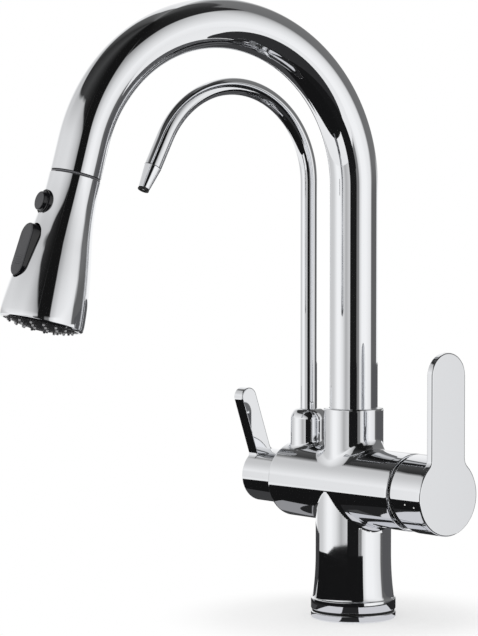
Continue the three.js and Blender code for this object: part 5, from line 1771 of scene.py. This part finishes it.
def mirror_card(name, pairs, brightness):
    material, tree, surface = surface_tree(name)
    feed(tree, surface, emission(tree, (brightness, brightness, brightness * BLUE_TINT)))
    verts = [strip_point(*point) for pair in pairs for point in pair]
    faces = [[2 * k, 2 * k + 1, 2 * k + 3, 2 * k + 2] for k in range(len(pairs) - 1)]
    card = stage_object(name, (verts, faces), material)
    card.visible_camera = False
    card.visible_diffuse = False
    card.visible_shadow = False


def flat_card(name, edges, level, brightness):
    stops, inner, outer = zip(*edges)
    turns = np.linspace(stops[0], stops[-1], int((stops[-1] - stops[0]) / CARD_STEP) + 1)
    reaches = zip(turns, np.interp(turns, stops, inner), np.interp(turns, stops, outer))
    pairs = [((turn, near, level), (turn, far, level)) for turn, near, far in reaches]
    mirror_card(name, pairs, brightness)


def wall_card(name, first, last, radius, low, high, brightness):
    turns = np.arange(first, last + CARD_STEP, CARD_STEP)
    mirror_card(name, [((turn, radius, low), (turn, radius, high)) for turn in turns], brightness)


# %% [markdown]
# The near cards lie on the worktop: pale close to the foot and black further out,
# which gives the column its bright streaks and the cross tube its black belly.
# The far ones float below the worktop's level and reach past it on every side.

# %% Studio cards
LOW_LEFT, LOW_RIGHT, UNDER, CARD_START, CARD_END = -27, -130, 120, 25, 129
PALE_EDGE = [
    (-180, 32), (-95, 32), (-75, 60), (-60, 98), (-22, 98), (-21, 25.5), (11, 25.5), (12, 98),
    (92, 98), (94, 26), (180, 32),
]
FLAT_CARDS = {
    "near_pale_card": ([(turn, CARD_START, reach) for turn, reach in PALE_EDGE], 0.4, 0.65),
    "near_black_card": ([(turn, reach, CARD_END) for turn, reach in PALE_EDGE], 0.5, 0.02),
    "left_grey_card": ([(-180, 25.5, 70), (-97, 25.5, 70)], 0.6, 0.06),
    "left_pale_card": ([(-160, 100, CARD_END), (-100, 100, CARD_END)], 0.7, 0.3),
    "left_black_card": (
        [(-125, UNDER, 420), (-60, UNDER, 540), (-15, UNDER, 560)], LOW_LEFT, 0.008),
    "front_black_card": (
        [(-18, UNDER, FLOOR_RADIUS), (15, UNDER, FLOOR_RADIUS)], LOW_LEFT, 0.01),
    "right_black_card": (
        [(9, UNDER, 950), (57, UNDER, 900), (75, UNDER, 560), (98, UNDER, 380)], LOW_RIGHT, 0.03),
    "back_grey_card": ([(98, UNDER, FLOOR_RADIUS), (172, UNDER, FLOOR_RADIUS)], LOW_LEFT, 0.1),
    "back_dark_card": ([(172, UNDER, 700), (235, UNDER, 600)], LOW_LEFT, 0.05),
}
for name, values in FLAT_CARDS.items():
    flat_card(name, *values)
wall_card("low_black_wall", -118, 24, 100, 0.2, 28, 0.008)
wall_card("plinth_skirt_card", -180, 180, 131, -160, 0.6, 0.008)
print("cards:", len(FLAT_CARDS), "flat and 2 upright")

# %% [markdown]
# The tent itself is the world's colour, which needs no geometry and little render time.
# Its pattern is drawn with two numbers for each direction: the turn round the horizon and the height.
# The turn goes into colour ramps, whose stops are given in degrees to the camera's right.

# %% Turn and height in the world
world = bpy.data.worlds.new("studio")
bpy.context.scene.world = world
world.use_nodes = True
tree = world.node_tree
tree.nodes.clear()


def dot_with(vector, source):
    node = tree.nodes.new("ShaderNodeVectorMath")
    node.operation = "DOT_PRODUCT"
    node.inputs[1].default_value = vector
    tree.links.new(source, node.inputs[0])
    return node.outputs["Value"]


def ramp_round(factor, stops, unit=1.0):
    ramp = tree.nodes.new("ShaderNodeValToRGB")
    elements = ramp.color_ramp.elements
    elements.remove(elements[1])
    elements[0].position = stops[0][0] / 360 + 0.5
    for index, (degrees, value) in enumerate(stops):
        element = elements.new(degrees / 360 + 0.5) if index else elements[0]
        element.color = (value / unit, value / unit, value / unit, 1)
    tree.links.new(factor, ramp.inputs["Fac"])
    return ramp.outputs["Color"]


def above_edge(height, edge, softness):
    past = math_node(tree, "SUBTRACT", height, edge)
    node = math_node(tree, "ADD", math_node(tree, "DIVIDE", past, softness), 0.5).node
    node.use_clamp = True
    return node.outputs[0]


direction = tree.nodes.new("ShaderNodeTexCoord").outputs["Generated"]
to_right, to_camera = (dot_with(v, direction) for v in (UP.cross(towards_camera), towards_camera))
around = math_node(tree, "ARCTAN2", to_right, to_camera)
turn_share = math_node(tree, "ADD", math_node(tree, "DIVIDE", around, FULL_TURN), 0.5)
steepness = math_node(tree, "ARCSINE", dot_with(UP, direction), 0)
height = math_node(tree, "DIVIDE", steepness, math.pi / 2)
print("tent:", len(tree.nodes), "nodes so far")

# %% [markdown]
# The tent has storeys: a low one at eye level, a middle one that changes towards its upper edge,
# and a dark top. Each is a ramp of brightness, and two more ramps say, in degrees,
# how high each storey reaches. A dark stretch in them becomes a dark band in the chrome:
# the one just to the right of the camera is the band down the middle of the head.

# %% Storeys of the tent
SILL = [(-180, 8), (-20, 9), (-4, 10), (30, 6), (92, 3), (180, 3)]
UPPER_EDGE = [
    (-180, 67), (-163, 58), (-155, 40), (-145, 38), (-130, 39), (-118, 38), (-109, 37), (-97, 38),
    (-63, 42), (-40, 40), (-13, 27), (-4, 21), (-3, 60), (28, 60), (29, 40), (50, 46), (97, 48),
    (98, 62), (172, 62), (180, 67),
]
LOW = [
    (-180, 1.0), (-152, 1.0), (-140, 0.6), (-110, 0.68), (-85, 1.0), (-72, 1.0), (-55, 0.83),
    (-45, 0.62), (-38, 0.46), (-30, 0.55), (-18, 0.68), (-17, 0.012), (12, 0.012), (14, 0.2),
    (24, 0.22), (27, 0.7), (40, 1.0), (60, 1.0), (84, 0.86), (89, 0.75), (91, 0.4), (92, 0.13),
    (137, 0.13), (139, 1.0), (180, 1.0),
]
MIDDLE = [
    (-180, 1.0), (-150, 1.0), (-135, 0.75), (-118, 0.8), (-100, 0.95), (-50, 1.0), (-20, 0.85),
    (-5, 0.6), (-4, 0.008), (28, 0.008), (29, 0.6), (45, 0.9), (80, 0.95), (90, 0.9), (96, 0.5),
    (98, 0.17), (165, 0.18), (180, 0.8),
]
NEAR_EDGE = [
    (-180, 0.9), (-140, 0.5), (-118, 0.6), (-100, 0.5), (-50, 0.55), (-20, 0.4), (-5, 0.25),
    (-4, 0.008), (28, 0.008), (29, 0.3), (45, 0.35), (70, 0.6), (90, 0.35), (98, 0.17), (165, 0.2),
    (180, 0.6),
]
TOP = [
    (-180, 0.2), (-150, 0.1), (-118, 0.03), (-60, 0.06), (-20, 0.02), (-4, 0.008), (28, 0.008),
    (97, 0.03), (180, 0.1),
]
low_tone, middle_tone, edge_tone, top_tone = (
    ramp_round(turn_share, stops) for stops in (LOW, MIDDLE, NEAR_EDGE, TOP))
print("stops:", sum(map(len, (SILL, UPPER_EDGE, LOW, MIDDLE, NEAR_EDGE, TOP))))

# %% [markdown]
# The storeys are laid over each other with soft edges. Only mirrors see the pattern:
# the camera sees plain white behind the faucet, and everything matt is lit by a softer, even white.

# %% Tent
QUARTER, SILL_SOFTNESS, EDGE_SOFTNESS = 90, 5, 2.5
SOFT_WHITE, WHITE = (0.82, 0.82, 0.82, 1), (1, 1, 1, 1)
sill = ramp_round(turn_share, SILL, QUARTER)
upper_edge = ramp_round(turn_share, UPPER_EDGE, QUARTER)
storey = math_node(tree, "SUBTRACT", upper_edge, sill)
rise = math_node(tree, "DIVIDE", math_node(tree, "SUBTRACT", height, sill), storey)
middle = mix_node(tree, rise, middle_tone, edge_tone)
tent = mix_node(tree, above_edge(height, sill, SILL_SOFTNESS / QUARTER), low_tone, middle)
tent = mix_node(tree, above_edge(height, upper_edge, EDGE_SOFTNESS / QUARTER), tent, top_tone)
path = tree.nodes.new("ShaderNodeLightPath")
seen = mix_node(tree, path.outputs["Is Glossy Ray"], SOFT_WHITE, tent)
seen = mix_node(tree, path.outputs["Is Camera Ray"], seen, WHITE)
background = tree.nodes.new("ShaderNodeBackground")
world_out = tree.nodes.new("ShaderNodeOutputWorld")
tree.links.new(seen, background.inputs["Color"])
tree.links.new(background.outputs[0], world_out.inputs["Surface"])
print("tent:", len(tree.nodes), "nodes")

# %% [markdown]
# One large soft lamp above adds the gentle shadow that tells the eye where the faucet stands.
# It is hidden from mirrors, because its square would show in the chrome.

# %% Lamp
LAMP_SIZE, LAMP_ENERGY, LAMP_PLACE, LAMP_AIM = 0.9, 2.5, Vector((0.3, -0.5, 1.1)), Vector((0, 0, 0.15))
lamp_data = bpy.data.lights.new("soft_lamp", "AREA")
lamp_data.size = LAMP_SIZE
lamp_data.energy = LAMP_ENERGY
lamp = new_object("soft_lamp", lamp_data)
lamp.location = LAMP_PLACE
lamp.rotation_euler = (LAMP_AIM - LAMP_PLACE).to_track_quat("-Z", "Y").to_euler()
lamp.visible_glossy = False
print("lamp at", [round(v, 2) for v in lamp.location], "m")

# %% [markdown]
# The size of the whole is printed.

# %% Size
bpy.context.scene.view_settings.view_transform = "Standard"
low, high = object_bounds()
print("size", [round((b - a) / MM, 1) for a, b in zip(low, high)], "mm")
